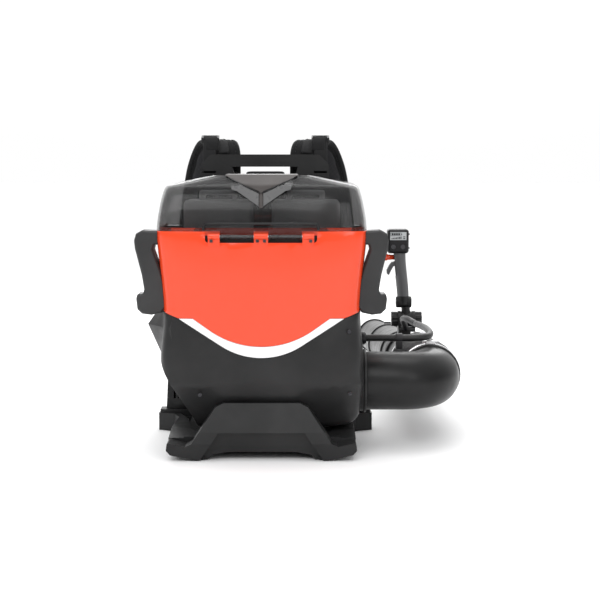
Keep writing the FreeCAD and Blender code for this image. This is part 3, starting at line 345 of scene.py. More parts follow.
def make_materials():
    m = {}
    m["orange"] = glossy("orange_gloss", (0.82, 0.058, 0.012))
    m["white"] = glossy("white_gloss", (0.88, 0.88, 0.885), 0.22)
    m["red"] = glossy("button_red", (0.82, 0.07, 0.02), 0.24)
    m["housing"] = moulded("housing_black", (0.015, 0.015, 0.0154), 0.42)
    m["frame"] = moulded("frame_black", (0.0145, 0.0146, 0.015), 0.48, grain=0.4)
    m["inner"] = moulded("inner_black", (0.014, 0.014, 0.0145), 0.55)
    m["handle"] = moulded("handle_grey", (0.03, 0.0303, 0.031), 0.46, grain=0.35)
    m["grip"] = moulded("grip_grey", (0.092, 0.093, 0.096), 0.5, grain=0.4,
                        foot=(0.2262, (0.012, 0.012, 0.0125)))
    m["head"] = moulded("head_black", (0.012, 0.012, 0.013), 0.36)
    m["pipe"] = moulded("pipe_black", (0.01, 0.01, 0.0103), 0.34, grain=0.1, gleam=0.26)
    m["badge"] = moulded("badge_dark", (0.055, 0.048, 0.046), 0.4, grain=0.1)
    m["battery"] = moulded("battery_shell", (0.38, 0.382, 0.385), 0.5)
    m["facet"] = glossy("facet_smoke", (0.045, 0.045, 0.046), 0.26)
    m["impeller"] = moulded("impeller_grey", (0.11, 0.11, 0.115), 0.5)
    m["buckle"] = moulded("buckle_black", (0.024, 0.024, 0.026), 0.34)
    m["smoked"] = smoked("smoked_clear")
    m["steel"] = steel("steel_bright", (0.72, 0.72, 0.73), 0.24)
    m["core"] = steel("steel_core", (0.42, 0.42, 0.43), 0.42)
    m["bolt"] = steel("bolt_black", (0.06, 0.06, 0.065), 0.4)
    m["copper"] = steel("copper", (0.8, 0.42, 0.25), 0.3)
    m["rubber"] = rubber("rubber_black", (0.02, 0.02, 0.021))
    m["hose"] = rubber("hose_black", (0.016, 0.016, 0.017), 0.44)
    m["key"] = rubber("button_dark", (0.07, 0.07, 0.075), 0.5)
    m["pad"] = woven("pad_fabric", (0.008, 0.008, 0.0085), 0.0011)
    m["pad_mesh"] = woven("back_mesh", (0.016, 0.016, 0.017), 0.0024, coords="Object", lift=2.4)
    m["mesh"] = woven("pad_mesh", (0.028, 0.028, 0.03), 0.0024, lift=2.6)
    m["webbing"] = webbing_material("webbing", (0.008, 0.008, 0.0085))
    m["thread"] = rubber("thread", (0.05, 0.05, 0.053), 0.7)
    m["braid"] = braided("conduit_braid", (0.012, 0.012, 0.0125))
    m["display"] = glossy("display_glass", (0.5, 0.52, 0.53), 0.12)
    m["ink"] = moulded("display_ink", (0.02, 0.022, 0.024), 0.4)
    return m


NODE_FINISH = {
    "orange": ("upper_shell",), "white": ("trim_strip",), "red": ("thumb_button", "lid_latch"),
    "housing": ("rear_housing", "front_housing", "outlet_collar", "handle_bracket", "tilt_knobs"),
    "frame": ("base_stand", "back_frame", "intake_grille"),
    "inner": ("battery_tray", "fan_case_front", "fan_case_rear"),
    "handle": ("side_handle_left", "side_handle_right"),
    "grip": ("control_grip", "throttle_trigger"), "head": ("control_head",),
    "pipe": ("elbow", "swivel_pipe", "pipe_middle", "nozzle"), "badge": ("lid_badge",),
    "battery": ("battery_left", "battery_right"), "impeller": ("fan_impeller",),
    "buckle": ("conduit_gland", "belt_buckle", "strap_buckles"), "smoked": ("battery_lid",),
    "steel": ("hinge_rod", "hose_clamp_rear", "hose_clamp_front", "fan_bearings",
              "drive_shaft", "impeller_nut"),
    "core": ("motor_stator", "motor_rotor", "controller_module"), "bolt": ("assembly_bolts",),
    "copper": ("battery_terminals",), "rubber": ("foot_pads", "frame_bushes"),
    "key": ("power_button", "mode_button"), "display": ("display_window",),
    "pad": ("back_pad", "shoulder_strap_left", "shoulder_strap_right", "hip_belt_left",
            "hip_belt_right"),
    "webbing": ("harness_webbing",), "braid": ("conduit_rear", "conduit_middle", "conduit_front"),
    "hose": ("hose_rear", "hose_middle", "hose_front"),
}


def dress_nodes(materials):
    """Give every CAD node its procedural material."""
    for key, names in NODE_FINISH.items():
        for name in names:
            mesh = NODES[name].data
            mesh.materials.clear()
            mesh.materials.append(materials[key])


# ================================================================ mesh helpers
def mesh_piece(name, verts, faces, material, uvs=None, smooth=True):
    """A mesh object from points in metres. uvs holds one pair for each vertex."""
    mesh = bpy.data.meshes.new(name)
    mesh.from_pydata([tuple(v) for v in verts], [], faces)
    if uvs:
        layer = mesh.uv_layers.new(name="metres")
        for loop in mesh.loops:
            layer.data[loop.index].uv = uvs[loop.vertex_index]
    mesh.materials.append(material)
    piece = bpy.data.objects.new(name, mesh)
    bpy.context.collection.objects.link(piece)
    tool = bmesh.new()
    tool.from_mesh(mesh)
    bmesh.ops.recalc_face_normals(tool, faces=tool.faces)
    tool.to_mesh(mesh)
    tool.free()
    mesh.polygons.foreach_set("use_smooth", [smooth] * len(mesh.polygons))
    return piece


def add_bevel(piece, width, angle=35, segments=3):
    """Rounded moulding edges, as a modifier."""
    weld = piece.modifiers.new("weld", "WELD")
    weld.merge_threshold = 0.00002
    bevel = piece.modifiers.new("edges", "BEVEL")
    bevel.width = width * MM
    bevel.segments = segments
    bevel.limit_method = "ANGLE"
    bevel.angle_limit = math.radians(angle)
    bevel.harden_normals = True
    bevel.use_clamp_overlap = True


def smooth_path(points, step=5.0):
    """Even points along a smooth curve through the given ones, in millimetres."""
    points = [Vector(p) for p in points]
    knots = [points[0] * 2 - points[1]] + points + [points[-1] * 2 - points[-2]]
    path = []
    for a, b, c, d in zip(knots, knots[1:], knots[2:], knots[3:]):
        count = max(2, round((c - b).length / step))
        for k in range(count):
            t = k / count
            path.append(0.5 * (2 * b + (c - a) * t + (2 * a - 5 * b + 4 * c - d) * t * t
                               + (3 * b - a - 3 * c + d) * t ** 3))
    path.append(points[-1])
    return path


def stations(path, across):
    """Point, side, normal and length so far, at each point of a path."""
    rows, length = [], 0.0
    for i, point in enumerate(path):
        along = (path[min(i + 1, len(path) - 1)] - path[max(i - 1, 0)]).normalized()
        side = (across - along * across.dot(along)).normalized()
        if i:
            length += (point - path[i - 1]).length
        rows.append((point, side, along.cross(side).normalized(), length))
    return rows


def sweep(name, rows, section, material, body=None):
    """A closed skin round a path. section(length, total) gives (side, normal) offsets."""
    total = rows[-1][3]
    verts, uvs, faces = [], [], []
    count = len(section(0.0, total))
    for point, side, normal, length in rows:
        around = 0.0
        ring = section(length, total)
        for k, (a, b) in enumerate(ring):
            if k:
                around += math.hypot(a - ring[k - 1][0], b - ring[k - 1][1])
            verts.append((point + side * a + normal * b) * MM)
            uvs.append((length * MM, around * MM))
    for i in range(len(rows) - 1):
        for k in range(count):
            n = (k + 1) % count
            faces.append((i * count + k, i * count + n, (i + 1) * count + n, (i + 1) * count + k))
    last = (len(rows) - 1) * count
    for start, point in ((0, rows[0][0]), (last, rows[-1][0])):
        verts.append(point * MM)
        uvs.append(uvs[start])
        hub = len(verts) - 1
        for k in range(count):
            faces.append((hub, start + k, start + (k + 1) % count))
    piece = mesh_piece(name, verts, faces, material, uvs)
    return placed(piece, body)


def placed(piece, body=None):
    if body:
        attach(piece, body)
    return piece


def mirror_copy(piece, name, body):
    """The same piece on the other side of the body's middle plane."""
    twin = piece.copy()
    twin.data = piece.data.copy()
    twin.name = name
    twin.parent = None
    bpy.context.collection.objects.link(twin)
    twin.data.transform(Matrix.Scale(-1, 4, (1, 0, 0)))
    twin.data.flip_normals()
    return placed(twin, body)


def flat_section(width, thick):
    """Webbing: a thin band with rounded edges."""
    w, t = width / 2, thick / 2
    ring = [(-w, 0), (-w + t, t), (-w / 2, t), (0, t), (w / 2, t), (w - t, t),
            (w, 0), (w - t, -t), (w / 2, -t), (0, -t), (-w / 2, -t), (-w + t, -t)]
    return lambda length, total: ring


def pad_section(width, thick, seam=0.72, taper=14.0, point=1.0, count=56):
    """A stuffed band: crowned, with a sewn channel near each edge and rounded ends."""
    def ring(length, total):
        end = min(length, total - length) / taper
        shrink = math.sqrt(max(1 - (1 - min(end, 1)) ** 2, 0.0)) if end < 1 else 1.0
        full = max(shrink, 0.06)
        narrow = 1.0 - (1.0 - point) * max(0.0, (length / total - 0.45) / 0.55) ** 1.5
        offsets = []
        for k in range(count):
            turn = 2 * math.pi * k / count
            a = math.copysign(abs(math.cos(turn)) ** 0.5, math.cos(turn))
            b = math.copysign(abs(math.sin(turn)) ** 0.75, math.sin(turn))
            channel = 1 - 0.34 * math.exp(-((abs(a) - seam) / 0.045) ** 2)
            swell = 1 + 0.05 * math.sin(length * 0.13) * (1 - abs(a))
            offsets.append((a * width / 2 * narrow * (0.82 + 0.18 * full),
                            b * thick / 2 * channel * swell * full))
        return offsets
    return ring


def stitches(name, rows, lines, lift, material, pitch=5.0, size=0.55, body=None):
    """Short thread stitches that stand a little proud along lines of a band.

    Each line is (side offset, which face), lift gives the height of the face there.
    """
    verts, faces = [], []
    for offset, face in lines:
        placed_at = 0.0
        for (p, side, normal, length), (q, _, _, length2) in zip(rows, rows[1:]):
            while placed_at < length2 and length2 > length:
                t = (placed_at - length) / (length2 - length)
                along = (q - p).normalized()
                mid = p.lerp(q, t) + side * offset + normal * (face * lift(offset))
                base = len(verts)
                for s, w, h in ((-1, 0, 0), (-0.5, 1, 0), (-0.5, 0, 1), (-0.5, -1, 0),
                                (0.5, 1, 0), (0.5, 0, 1), (0.5, -1, 0), (1, 0, 0)):
                    verts.append((mid + along * (s * pitch * 0.36) + side * (w * size)
                                  + normal * (face * h * size)) * MM)
                for f in ((0, 1, 2), (0, 2, 3), (0, 3, 1), (1, 4, 5, 2), (2, 5, 6, 3),
                          (3, 6, 4, 1), (7, 5, 4), (7, 6, 5), (7, 4, 6)):
                    faces.append(tuple(base + i for i in f))
                placed_at += pitch
    return placed(mesh_piece(name, verts, faces, material), body)


def turned(name, profile, axis, material, body=None, segments=96):
    """Turn a closed (distance, radius) outline about a path. axis(s) gives point and two sides."""
    verts, faces, uvs = [], [], []
    for s, r in profile:
        centre, u, v = axis(s)
        for k in range(segments):
            turn = 2 * math.pi * k / segments
            verts.append((centre + (u * math.cos(turn) + v * math.sin(turn)) * r) * MM)
            uvs.append((s * MM, r * turn * MM))
    count = len(profile)
    for i in range(count):
        j = (i + 1) % count
        for k in range(segments):
            n = (k + 1) % segments
            faces.append((i * segments + k, i * segments + n, j * segments + n, j * segments + k))
    return placed(mesh_piece(name, verts, faces, material, uvs), body)


def rounded_block(tool, centre, size, radius, turn=None, segments=2):
    """Add a box with rounded edges to a bmesh, all in millimetres."""
    made = bmesh.ops.create_cube(tool, size=1.0)["verts"]
    bmesh.ops.scale(tool, vec=Vector(size), verts=made)
    edges = list({e for v in made for e in v.link_edges})
    done = bmesh.ops.bevel(tool, geom=made + edges, offset=radius, segments=segments,
                           profile=0.5, affect="EDGES")
    made = list({v for f in done["faces"] for v in f.verts} | {v for v in made if v.is_valid})
    if turn:
        bmesh.ops.rotate(tool, cent=(0, 0, 0), matrix=turn, verts=made)
    bmesh.ops.translate(tool, vec=Vector(centre), verts=made)


def from_blocks(name, blocks, material, body):
    """One piece from (centre, size, radius) blocks in millimetres."""
    tool = bmesh.new()
    for block in blocks:
        rounded_block(tool, *block)
    bmesh.ops.scale(tool, vec=(MM, MM, MM), verts=tool.verts)
    mesh = bpy.data.meshes.new(name)
    tool.to_mesh(mesh)
    tool.free()
    mesh.materials.append(material)
    piece = bpy.data.objects.new(name, mesh)
    bpy.context.collection.objects.link(piece)
    return placed(piece, body)


# ================================================================ harness
STRAP_LINE = ((80, 157, 470), (80, 157, 500), (80, 159, 518), (83, 167, 534), (89, 181, 543),
              (98, 197, 540), (110, 214, 522), (122, 229, 490), (130, 238, 450),
              (137, 243, 405), (142, 242, 350), (145, 235, 300), (147, 226, 265))
STRAP_WIDTH, STRAP_THICK = 66, 14
ACROSS, UPRIGHT = Vector((1, 0, 0)), Vector((0, 0, 1))


def make_shoulder_strap():
    """Stuffed strap with bound edges, a mesh lining and a webbing band on its outside."""
    rows = stations(smooth_path(STRAP_LINE, 4.0), ACROSS)
    pieces = []
    strap = sweep("shoulder_pad_right", rows, pad_section(STRAP_WIDTH - 2, STRAP_THICK),
                  MATERIALS["pad"])
    crumple(strap, 0.0009, 38)
    pieces.append(("shoulder_pad", strap, "pad_fabric"))
    half = STRAP_WIDTH / 2

    def binding(length, total):
        return [(2.6 * math.cos(t), 2.9 * math.sin(t))
                for t in [2 * math.pi * k / 14 for k in range(14)]]
    for tag, edge in (("inner", -1), ("outer", 1)):
        side_rows = [(p + s * (edge * (half - 2.4)), s, n, l) for p, s, n, l in rows[2:-2]]
        tape = sweep("strap_binding_%s_right" % tag, side_rows, binding, MATERIALS["webbing"])
        pieces.append(("strap_binding_" + tag, tape, "webbing"))
    lining_rows = [(p + n * 5.9, s, n, l) for p, s, n, l in rows[5:-5]]
    lining = sweep("strap_lining_right", lining_rows, pad_section(38, 4.4, seam=2.0, taper=8),
                   MATERIALS["mesh"])
    pieces.append(("strap_lining", lining, "pad_fabric"))
    web_rows = [(p - n * 8.0, s, n, l) for p, s, n, l in rows[14:]]
    band = sweep("strap_band_right", web_rows, flat_section(25, 1.6), MATERIALS["webbing"])
    pieces.append(("strap_band", band, "webbing"))
    seam = stitches("strap_stitches_right", rows[3:-3], ((-24, 1), (24, 1), (-24, -1), (24, -1)),
                    lambda offset: 4.7, MATERIALS["thread"])
    pieces.append(("strap_stitches", seam, "webbing"))
    tacks = stitches("band_stitches_right", web_rows[1:-1], ((-9.5, -1), (9.5, -1)),
                     lambda offset: 0.6, MATERIALS["thread"], pitch=4.0, size=0.45)
    pieces.append(("band_stitches", tacks, "webbing"))
    for tag, piece, slot in pieces:
        twin = mirror_copy(piece, tag + "_left", "backpack")
        placed(piece, "backpack")
        if tag == "shoulder_pad":
            for pad, node in ((piece, "shoulder_strap_right"), (twin, "shoulder_strap_left")):
                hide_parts(node)


def crumple(piece, height, scale):
    """Small soft folds: move each point along its normal by a smooth noise."""
    mesh = piece.data
    normals = [v.normal.copy() for v in mesh.vertices]
    for vertex, normal in zip(mesh.vertices, normals):
        vertex.co += normal * (noise.noise(vertex.co * scale) * height)


def make_hip_belt():
    """Stuffed wings, narrower towards the front, with a mesh lining and a stitched webbing run."""
    line = ((126, 150, 112), (142, 172, 112), (151, 200, 111), (147, 235, 109),
            (130, 264, 107), (106, 284, 105))
    rows = stations(smooth_path(line, 4.0), UPRIGHT)
    wing = sweep("belt_pad_right", rows, pad_section(77, 13, seam=0.78, point=0.66),
                 MATERIALS["pad"])
    crumple(wing, 0.0008, 42)
    lining_rows = [(p - n * 5.2, s, n, l) for p, s, n, l in rows[4:-6]]
    lining = sweep("belt_lining_right", lining_rows, pad_section(46, 4.4, 2.0, 8, point=0.7),
                   MATERIALS["mesh"])
    run_rows = [(p + n * 7.2, s, n, l) for p, s, n, l in rows[10:]]
    run = sweep("belt_run_right", run_rows, flat_section(37, 1.8), MATERIALS["webbing"])
    seam = stitches("belt_stitches_right", run_rows[1:-1], ((-15.5, 1), (15.5, 1)),
                    lambda offset: 0.7, MATERIALS["thread"], pitch=4.0, size=0.45)
    for tag, piece, slot in (("belt_pad", wing, "pad_fabric"), ("belt_lining", lining, "pad_fabric"),
                             ("belt_run", run, "webbing"), ("belt_stitches", seam, "webbing")):
        twin = mirror_copy(piece, tag + "_left", "backpack")
        placed(piece, "backpack")
        if tag == "belt_pad":
            for pad, node in ((piece, "hip_belt_right"), (twin, "hip_belt_left")):
                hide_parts(node)


def make_webbing():
    """Strap tails, load lifters, the belt's front band and their free ends."""
    lower = ((146, 230, 283), (147, 225, 262), (149, 218, 240), (154, 208, 212),
             (162, 190, 170), (172, 166, 122), (175, 149, 92), (175, 144, 60))
    tail = ((150, 214, 236), (153, 218, 214), (157, 219, 186), (158, 214, 160))
    lifter = ((105, 144, 470), (105, 144, 490), (105, 145, 520), (105, 150, 540),
              (105, 160, 552), (105, 172, 556), (107, 184, 555.5))
    loop = ((105, 163, 553), (104, 153, 557), (101, 147, 547), (100, 147, 528))
    belt = ((106, 294, 105), (80, 300, 104), (30, 305, 103), (-30, 305, 103),
            (-80, 300, 104), (-106, 294, 105))
    whole = sweep("belt_band", stations(smooth_path(belt), UPRIGHT), flat_section(37, 2),
                  MATERIALS["webbing"], "backpack")
    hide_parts("harness_webbing")
    for tag, line, width in (("strap_tail", lower, 25), ("free_end", tail, 25),
                             ("load_lifter", lifter, 25), ("lifter_loop", loop, 25)):
        piece = sweep(tag + "_right", stations(smooth_path(line), ACROSS),
                      flat_section(width, 1.7), MATERIALS["webbing"])
        mirror_copy(piece, tag + "_left", "backpack")
        placed(piece, "backpack")


def make_belt_buckle():
    """Side-release buckle: a socket, two sprung prongs and the webbing bars."""
    low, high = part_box("belt_buckle")
    mid = (low + high) / 2 / MM
    x, y, z = mid
    wide, deep, tall = (high - low) / MM
    blocks = [
        ((x - 8, y, z), (wide * 0.56, deep - 0.6, tall * 0.94), 2.6),
        ((x + 21, y, z), (12, deep - 2.4, tall * 0.9), 2.2),
        ((x + 14, y, z + 15), (22, deep - 4, 7), 2.0),
        ((x + 14, y, z - 15), (22, deep - 4, 7), 2.0),
        ((x + 13, y, z), (20, deep - 5, 8), 1.8),
        ((x + 30.5, y, z), (4.5, deep - 3, tall * 0.86), 1.6),
        ((x - 30.5, y, z), (5, deep - 3, tall * 0.86), 1.6),
        ((x - 24.5, y, z + 19), (12, deep - 4, 4), 1.2),
        ((x - 24.5, y, z - 19), (12, deep - 4, 4), 1.2),
        ((x - 8, y + 0.4, z), (20, deep - 0.2, tall * 0.34), 2.0),
    ]
    buckle = from_blocks("belt_clasp", blocks, MATERIALS["buckle"], "backpack")
    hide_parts("belt_buckle")


# ================================================================ back pad
def cloth_swell(piece, pressure, frames, cap):
    """Inflate a closed mesh as cloth, with no gravity, and keep the moved points."""
    start = [v.co.copy() for v in piece.data.vertices]
    cloth = piece.modifiers.new("cloth", "CLOTH")
    cloth.settings.quality = 5
    cloth.settings.use_pressure = True
    cloth.settings.uniform_pressure_force = pressure
    cloth.settings.effector_weights.gravity = 0
    cloth.settings.tension_stiffness = 12
    cloth.settings.compression_stiffness = 8
    scene = bpy.context.scene
    for step in range(1, frames + 1):
        scene.frame_set(step)
    shape = piece.evaluated_get(bpy.context.evaluated_depsgraph_get())
    moved = [v.co.copy() for v in shape.data.vertices]
    piece.modifiers.remove(cloth)
    for vertex, before, after in zip(piece.data.vertices, start, moved):
        way = after - before
        if way.length > cap:
            way *= cap / way.length
        vertex.co = before + way
    scene.frame_set(1)


def make_back_pad():
    """One stuffed pad with a tongue, sewn into channels, swollen as cloth."""
    low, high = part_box("back_pad")
    low, high = low / MM, high / MM
    near, far = low.y + 4.0, high.y - 3.0
    mid_y, deep = (near + far) / 2, far - near
    body_top = 440.0
    tool = bmesh.new()
    rounded_block(tool, (0, mid_y, (low.z + body_top) / 2),
                  (high.x - low.x - 6, deep, body_top - low.z - 6), 7, segments=3)
    rounded_block(tool, (0, mid_y, (420 + high.z) / 2 - 2), (78, deep, high.z - 420), 7, segments=3)
    bmesh.ops.scale(tool, vec=(MM, MM, MM), verts=tool.verts)
    mesh = bpy.data.meshes.new("back_cushion")
    tool.to_mesh(mesh)
    tool.free()
    pad = bpy.data.objects.new("back_cushion", mesh)
    bpy.context.collection.objects.link(pad)
    remesh = pad.modifiers.new("remesh", "REMESH")
    remesh.mode = "VOXEL"
    remesh.voxel_size = 0.005
    pad.data = bpy.data.meshes.new_from_object(
        pad.evaluated_get(bpy.context.evaluated_depsgraph_get()))
    pad.modifiers.clear()
    cloth_swell(pad, pressure=4.0, frames=18, cap=0.006)
    smooth = pad.modifiers.new("fine", "SUBSURF")
    smooth.levels = 1
    pad.data = bpy.data.meshes.new_from_object(
        pad.evaluated_get(bpy.context.evaluated_depsgraph_get()))
    pad.modifiers.clear()
    sew_channels(pad, low, high, mid_y * MM)
    pad.data.materials.clear()
    pad.data.materials.append(MATERIALS["pad_mesh"])
    pad.data.polygons.foreach_set("use_smooth", [True] * len(pad.data.polygons))
    placed(pad, "backpack")
    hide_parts("back_pad")


def sew_channels(pad, low, high, mid_y):
    """Press sewn lines into both faces: a ring near the edge and cross lines."""
    cross = [z * MM for z in (236, 286, 336, 386)]
    half = (high.x - low.x) / 2 * MM
    back = low.y * MM + 0.0012
    for vertex in pad.data.vertices:
        co = vertex.co
        depth = 0.0
        if co.z < 0.436:
            edge = min(half - abs(co.x), co.z - low.z * MM)
            depth = math.exp(-((edge - 0.018) / 0.0035) ** 2)
            if abs(co.x) < half - 0.018:
                depth = max([depth] + [math.exp(-((co.z - z) / 0.0038) ** 2) for z in cross])
                depth = max(depth, 0.8 * math.exp(-(co.x / 0.0036) ** 2))
        share = 1 - 0.42 * depth
        co.y = max(mid_y + (co.y - mid_y) * share, back)


# ================================================================ hose and cable
def pipe_axis(s):
    """Centre and sides of the hose line: straight back to the elbow, then the pipe line."""
    t = min(max((s + 22.0) / 44.0, 0.0), 1.0)
    ease = t * t * (3 - 2 * t)
    turn = Matrix.Identity(3).to_quaternion().slerp(LEVEL.to_quaternion(), ease)
    way = Vector((0, 1, 0)) if s < 0 else PIPE_DIR
    return PITCH_PIVOT / MM + way * s, turn @ Vector((1, 0, 0)), turn @ Vector((0, 0, 1))


def bellows_profile(start, end, cuff_start, cuff_end):
    """Outline of a ribbed hose wall: cuffs at its ends, rounded ribs between."""
    crest, trough, inside, pitch = 55.2, 50.6, 48.4, 8.0
    outer = [(start, inside)]
    s = start
    while s < end - 0.01:
        if s < cuff_start or s > cuff_end:
            r = crest
        else:
            wave = 0.5 - 0.5 * math.cos(2 * math.pi * (s - cuff_start) / pitch)
            r = crest - (crest - trough) * wave ** 1.4
        outer.append((s, r))
        s += 1.0
    outer += [(end, crest if end > cuff_end else trough + 2.0), (end, inside)]
    steps = 24
    inner = [(end + (start - end) * k / steps, inside) for k in range(1, steps)]
    return outer + inner


def make_hose():
    """Two ribbed lengths turned about the hose line; the rear one follows its bend at the pitch pivot.
    """
    rear = turned("hose_bellows_rear", bellows_profile(-72, 48, -49, 60), pipe_axis,
                  MATERIALS["hose"])
    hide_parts("hose_rear", "hose_middle")
    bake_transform(rear)
    front = turned("hose_bellows_front", bellows_profile(48, 150, 47, 129), pipe_axis,
                   MATERIALS["hose"])
    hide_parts("hose_front")
    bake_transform(front)


def on_pipe(x, s, z):
    """A point in the pipe line's own frame, in millimetres."""
    return PITCH_PIVOT / MM + LEVEL @ Vector((x, s, z))


def round_section(radius, count=20):
    ring = [(radius * math.cos(2 * math.pi * k / count), radius * math.sin(2 * math.pi * k / count))
            for k in range(count)]
    return lambda length, total: ring


def make_conduit():
    """The braided cable in four lengths, split where it crosses the joints."""
    radius = 6.4
    gland = [(178, 12, 190), (210, 12, 190.5), (246, 12, 190), (280, 13, 190.5), (298, 22, 191.5),
             (306, 44, 193), (306.5, 78, 195), on_pipe(0, 26, 76), on_pipe(0, 50, 76)]
    middle = [on_pipe(0, 50, 76), on_pipe(0, 74, 76.5), on_pipe(-1, 95, 77), on_pipe(-1, 115, 77)]
    crossing = [on_pipe(-1, 115, 77), on_pipe(-1, 135, 77), on_pipe(0, 152, 76), on_pipe(0, 170, 76)]
    handle = [on_pipe(0, 170, 76), on_pipe(-6, 190, 80), on_pipe(-14, 215, 84.5),
              on_pipe(-17, 250, 82), on_pipe(-10, 280, 70), on_pipe(-6, 294, 60)]
    runs = (("conduit_run_rear", gland, "backpack", "hose_link", 0.070, 0.125, "conduit_rear"),
            ("conduit_run_link", middle, "hose_link", "hose_end", None, None, "conduit_middle"),
            ("conduit_run_swivel", crossing, "hose_end", "pipe", None, None, None),
            ("conduit_run_handle", handle, "pipe", "handle_mount", None, None, "conduit_front"))
    across = Vector((0, 0, 1)).cross(PIPE_DIR)
    leaning = Vector((0.3, -0.4, 1))
    for name, line, before, after, start, end, node in runs:
        side = leaning if before == "backpack" else across
        piece = sweep(name, stations(smooth_path(line, 3.0), side), round_section(radius),
                      MATERIALS["braid"])
        if node:
            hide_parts(node)
        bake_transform(piece)


# ================================================================ lid and shell trim
def rounded_outline(half, rear, front, corner=44, steps=10):
    """Plan of the housing a little inside its skin: rear corners rounded, millimetres."""
    ring = [(-half, front), (-half, rear + corner)]
    for side in (-1, 1):
        for k in range(1, steps):
            t = math.pi / 2 * (k / steps if side < 0 else 1 - k / steps)
            x = half - corner * (1 - math.cos(t))
            ring.append((side * x, rear + corner * (1 - math.sin(t))))
        if side < 0:
            ring.append((-half + corner, rear))
            ring.append((half - corner, rear))
    return ring + [(half, rear + corner), (half, front)]


def make_shell_lip():
    """Upstanding orange lip of the shell, just inside the lid's edge."""
    ring = rounded_outline(176.5, -144, 26)
    inner = rounded_outline(174.3, -141.8, 26)
    verts, faces = [], []
    for z in (386.0, 399.0):
        verts += [Vector((x, y, z)) * MM for x, y in ring]
        verts += [Vector((x, y, z)) * MM for x, y in inner]
    n = len(ring)
    for k in range(n - 1):
        a, b = k, k + 1
        faces += [(a, b, 2 * n + b, 2 * n + a), (n + b, n + a, 3 * n + a, 3 * n + b),
                  (2 * n + a, 2 * n + b, 3 * n + b, 3 * n + a), (b, a, n + a, n + b)]
    for k in (0, n - 1):
        faces.append((k, 2 * n + k, 3 * n + k, n + k))
    lip = mesh_piece("shell_lip", verts, faces, MATERIALS["orange"], smooth=False)
    placed(lip, "backpack")


def make_hinge_trim():
    """Dark bay behind the hinge, and the raised border round its top in the lid."""
    from_blocks("hinge_bay", [((0, -140.5, 380), (194, 3, 34), 1.2),
                              ((0, -143.5, 364.8), (192, 8, 2.4), 0.8)],
                MATERIALS["inner"], "backpack")
    line = [(-97, -151.6, 395.5), (-97, -151.4, 401), (-94, -151.2, 404.5), (-88, -151.2, 406),
            (0, -152.0, 406.5), (88, -151.2, 406), (94, -151.2, 404.5), (97, -151.4, 401),
            (97, -151.6, 395.5)]
    sweep("hinge_border", stations(smooth_path(line, 3.0), Vector((0, 1, 0))),
          round_section(2.2, 10), MATERIALS["head"], "lid")
    screws = []
    for x in (-84, -6, 6, 84):
        screws.append(((x, -156.2, 377.5), (5.2, 2.2, 5.2), 1.0))
    from_blocks("hinge_screws", screws, MATERIALS["bolt"], "backpack")


def lid_rear(x, z):
    """How far back the lid's rear face stands at a place, in millimetres."""
    bow = -150.4 + (z - 393) * 0.075 + max(0, z - 430) ** 2 * 0.0058
    return bow + max(0, abs(x) - 60) ** 2 * 0.0009


def lid_facet(name, corners, material, thick=1.2):
    """A raised plate on the lid's rear face, from (x, z) corners, that follows its lean."""
    verts = []
    for lift in (0.4, -thick):
        verts += [Vector((x, lid_rear(x, z) + lift, z)) * MM for x, z in corners]
    n = len(corners)
    faces = [tuple(range(n - 1, -1, -1)), tuple(range(n, 2 * n))]
    faces += [(k, (k + 1) % n, n + (k + 1) % n, n + k) for k in range(n)]
    piece = mesh_piece(name, verts, faces, material, smooth=False)
    add_bevel(piece, 0.4, segments=2)
    return placed(piece, "lid")


def make_lid_facets():
    """Wings beside the V plate's point, and a painted shadow: a dark line under the plate's edge, where
    its shade falls.
    """
    for side, tag in ((-1, "left"), (1, "right")):
        wing = [(side * 3.6, 457), (side * 3.8, 435), (side * 41, 461), (side * 50, 463.5),
                (side * 52, 469), (side * 35, 471.5)]
        lid_facet("lid_facet_" + tag, wing[::side], MATERIALS["facet"], 1.3)
        # painted shadow: a thin dark tube along the V plate's lower edges stands in for the shade the
        # raised plate casts
        edge = [Vector((side * x, lid_rear(side * x, z) - 0.6, z))
                for x, z in ((1, 457.6), (20, 466.6), (40, 476), (56, 483.4))]
        sweep("badge_painted_shadow_" + tag, stations(edge, Vector((0, 1, 0))),
              round_section(1.0, 8), MATERIALS["head"], "lid")


def make_thumb_knob():
    """Round red push knob with a ribbed cap on the side of the grip."""
    low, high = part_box("thumb_button")
    low, high = low / MM, high / MM
    y, z = (low.y + high.y) / 2, (low.z + high.z) / 2
    radius = (high.z - low.z) / 2
    end = high.x - low.x - 0.3
    profile = [(0.2, 0.3), (0.6, 2.4), (1.6, 4.4), (3.2, 6.0), (5.6, 7.1), (8.4, 7.4), (11.4, 7.1),
               (13.6, 6.2), (14.6, 5.4), (16.0, 5.8), (18.0, 5.8), (18.4, 5.3), (end, 5.3),
               (end, 0.3)]

    def axis(s):
        return Vector((low.x + s, y, z)), Vector((0, 1, 0)), Vector((0, 0, 1))
    knob = turned("thumb_knob", [(s, min(r, radius - 0.1)) for s, r in profile], axis,
                  MATERIALS["red"], "thumb_key", segments=48)
    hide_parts("thumb_button")


# ================================================================ small fittings
def make_display():
    """Plain level bars and a battery outline behind the display window."""
    low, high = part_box("display_window")
    low, high = low / MM, high / MM
    y = low.y - 0.1
    blocks = []
    for k in range(7):
        height = 2.0 + 0.55 * k
        blocks.append(((low.x + 4 + 3.1 * k, y, low.z + 2 + height / 2), (2.0, 0.3, height), 0.1))
    for k in range(4):
        blocks.append(((low.x + 5 + 4.6 * k, y, high.z - 4.6), (3.6, 0.3, 4.2), 0.1))
    frame_z = high.z - 4.6
    for dx, dz, sx, sz in ((12, 3, 22, 0.6), (12, -3, 22, 0.6), (0.8, 0, 0.6, 6.4),
                           (23.2, 0, 0.6, 6.4), (24.2, 0, 1.4, 2.4)):
        blocks.append(((low.x + dx, y, frame_z + dz), (sx, 0.3, sz), 0.1))
    for dz in (0, 3.6):
        blocks.append(((high.x - 4.6, y, low.z + 3 + dz), (4.4, 0.3, 1.8), 0.1))
    from_blocks("display_marks", blocks, MATERIALS["ink"], "grip")


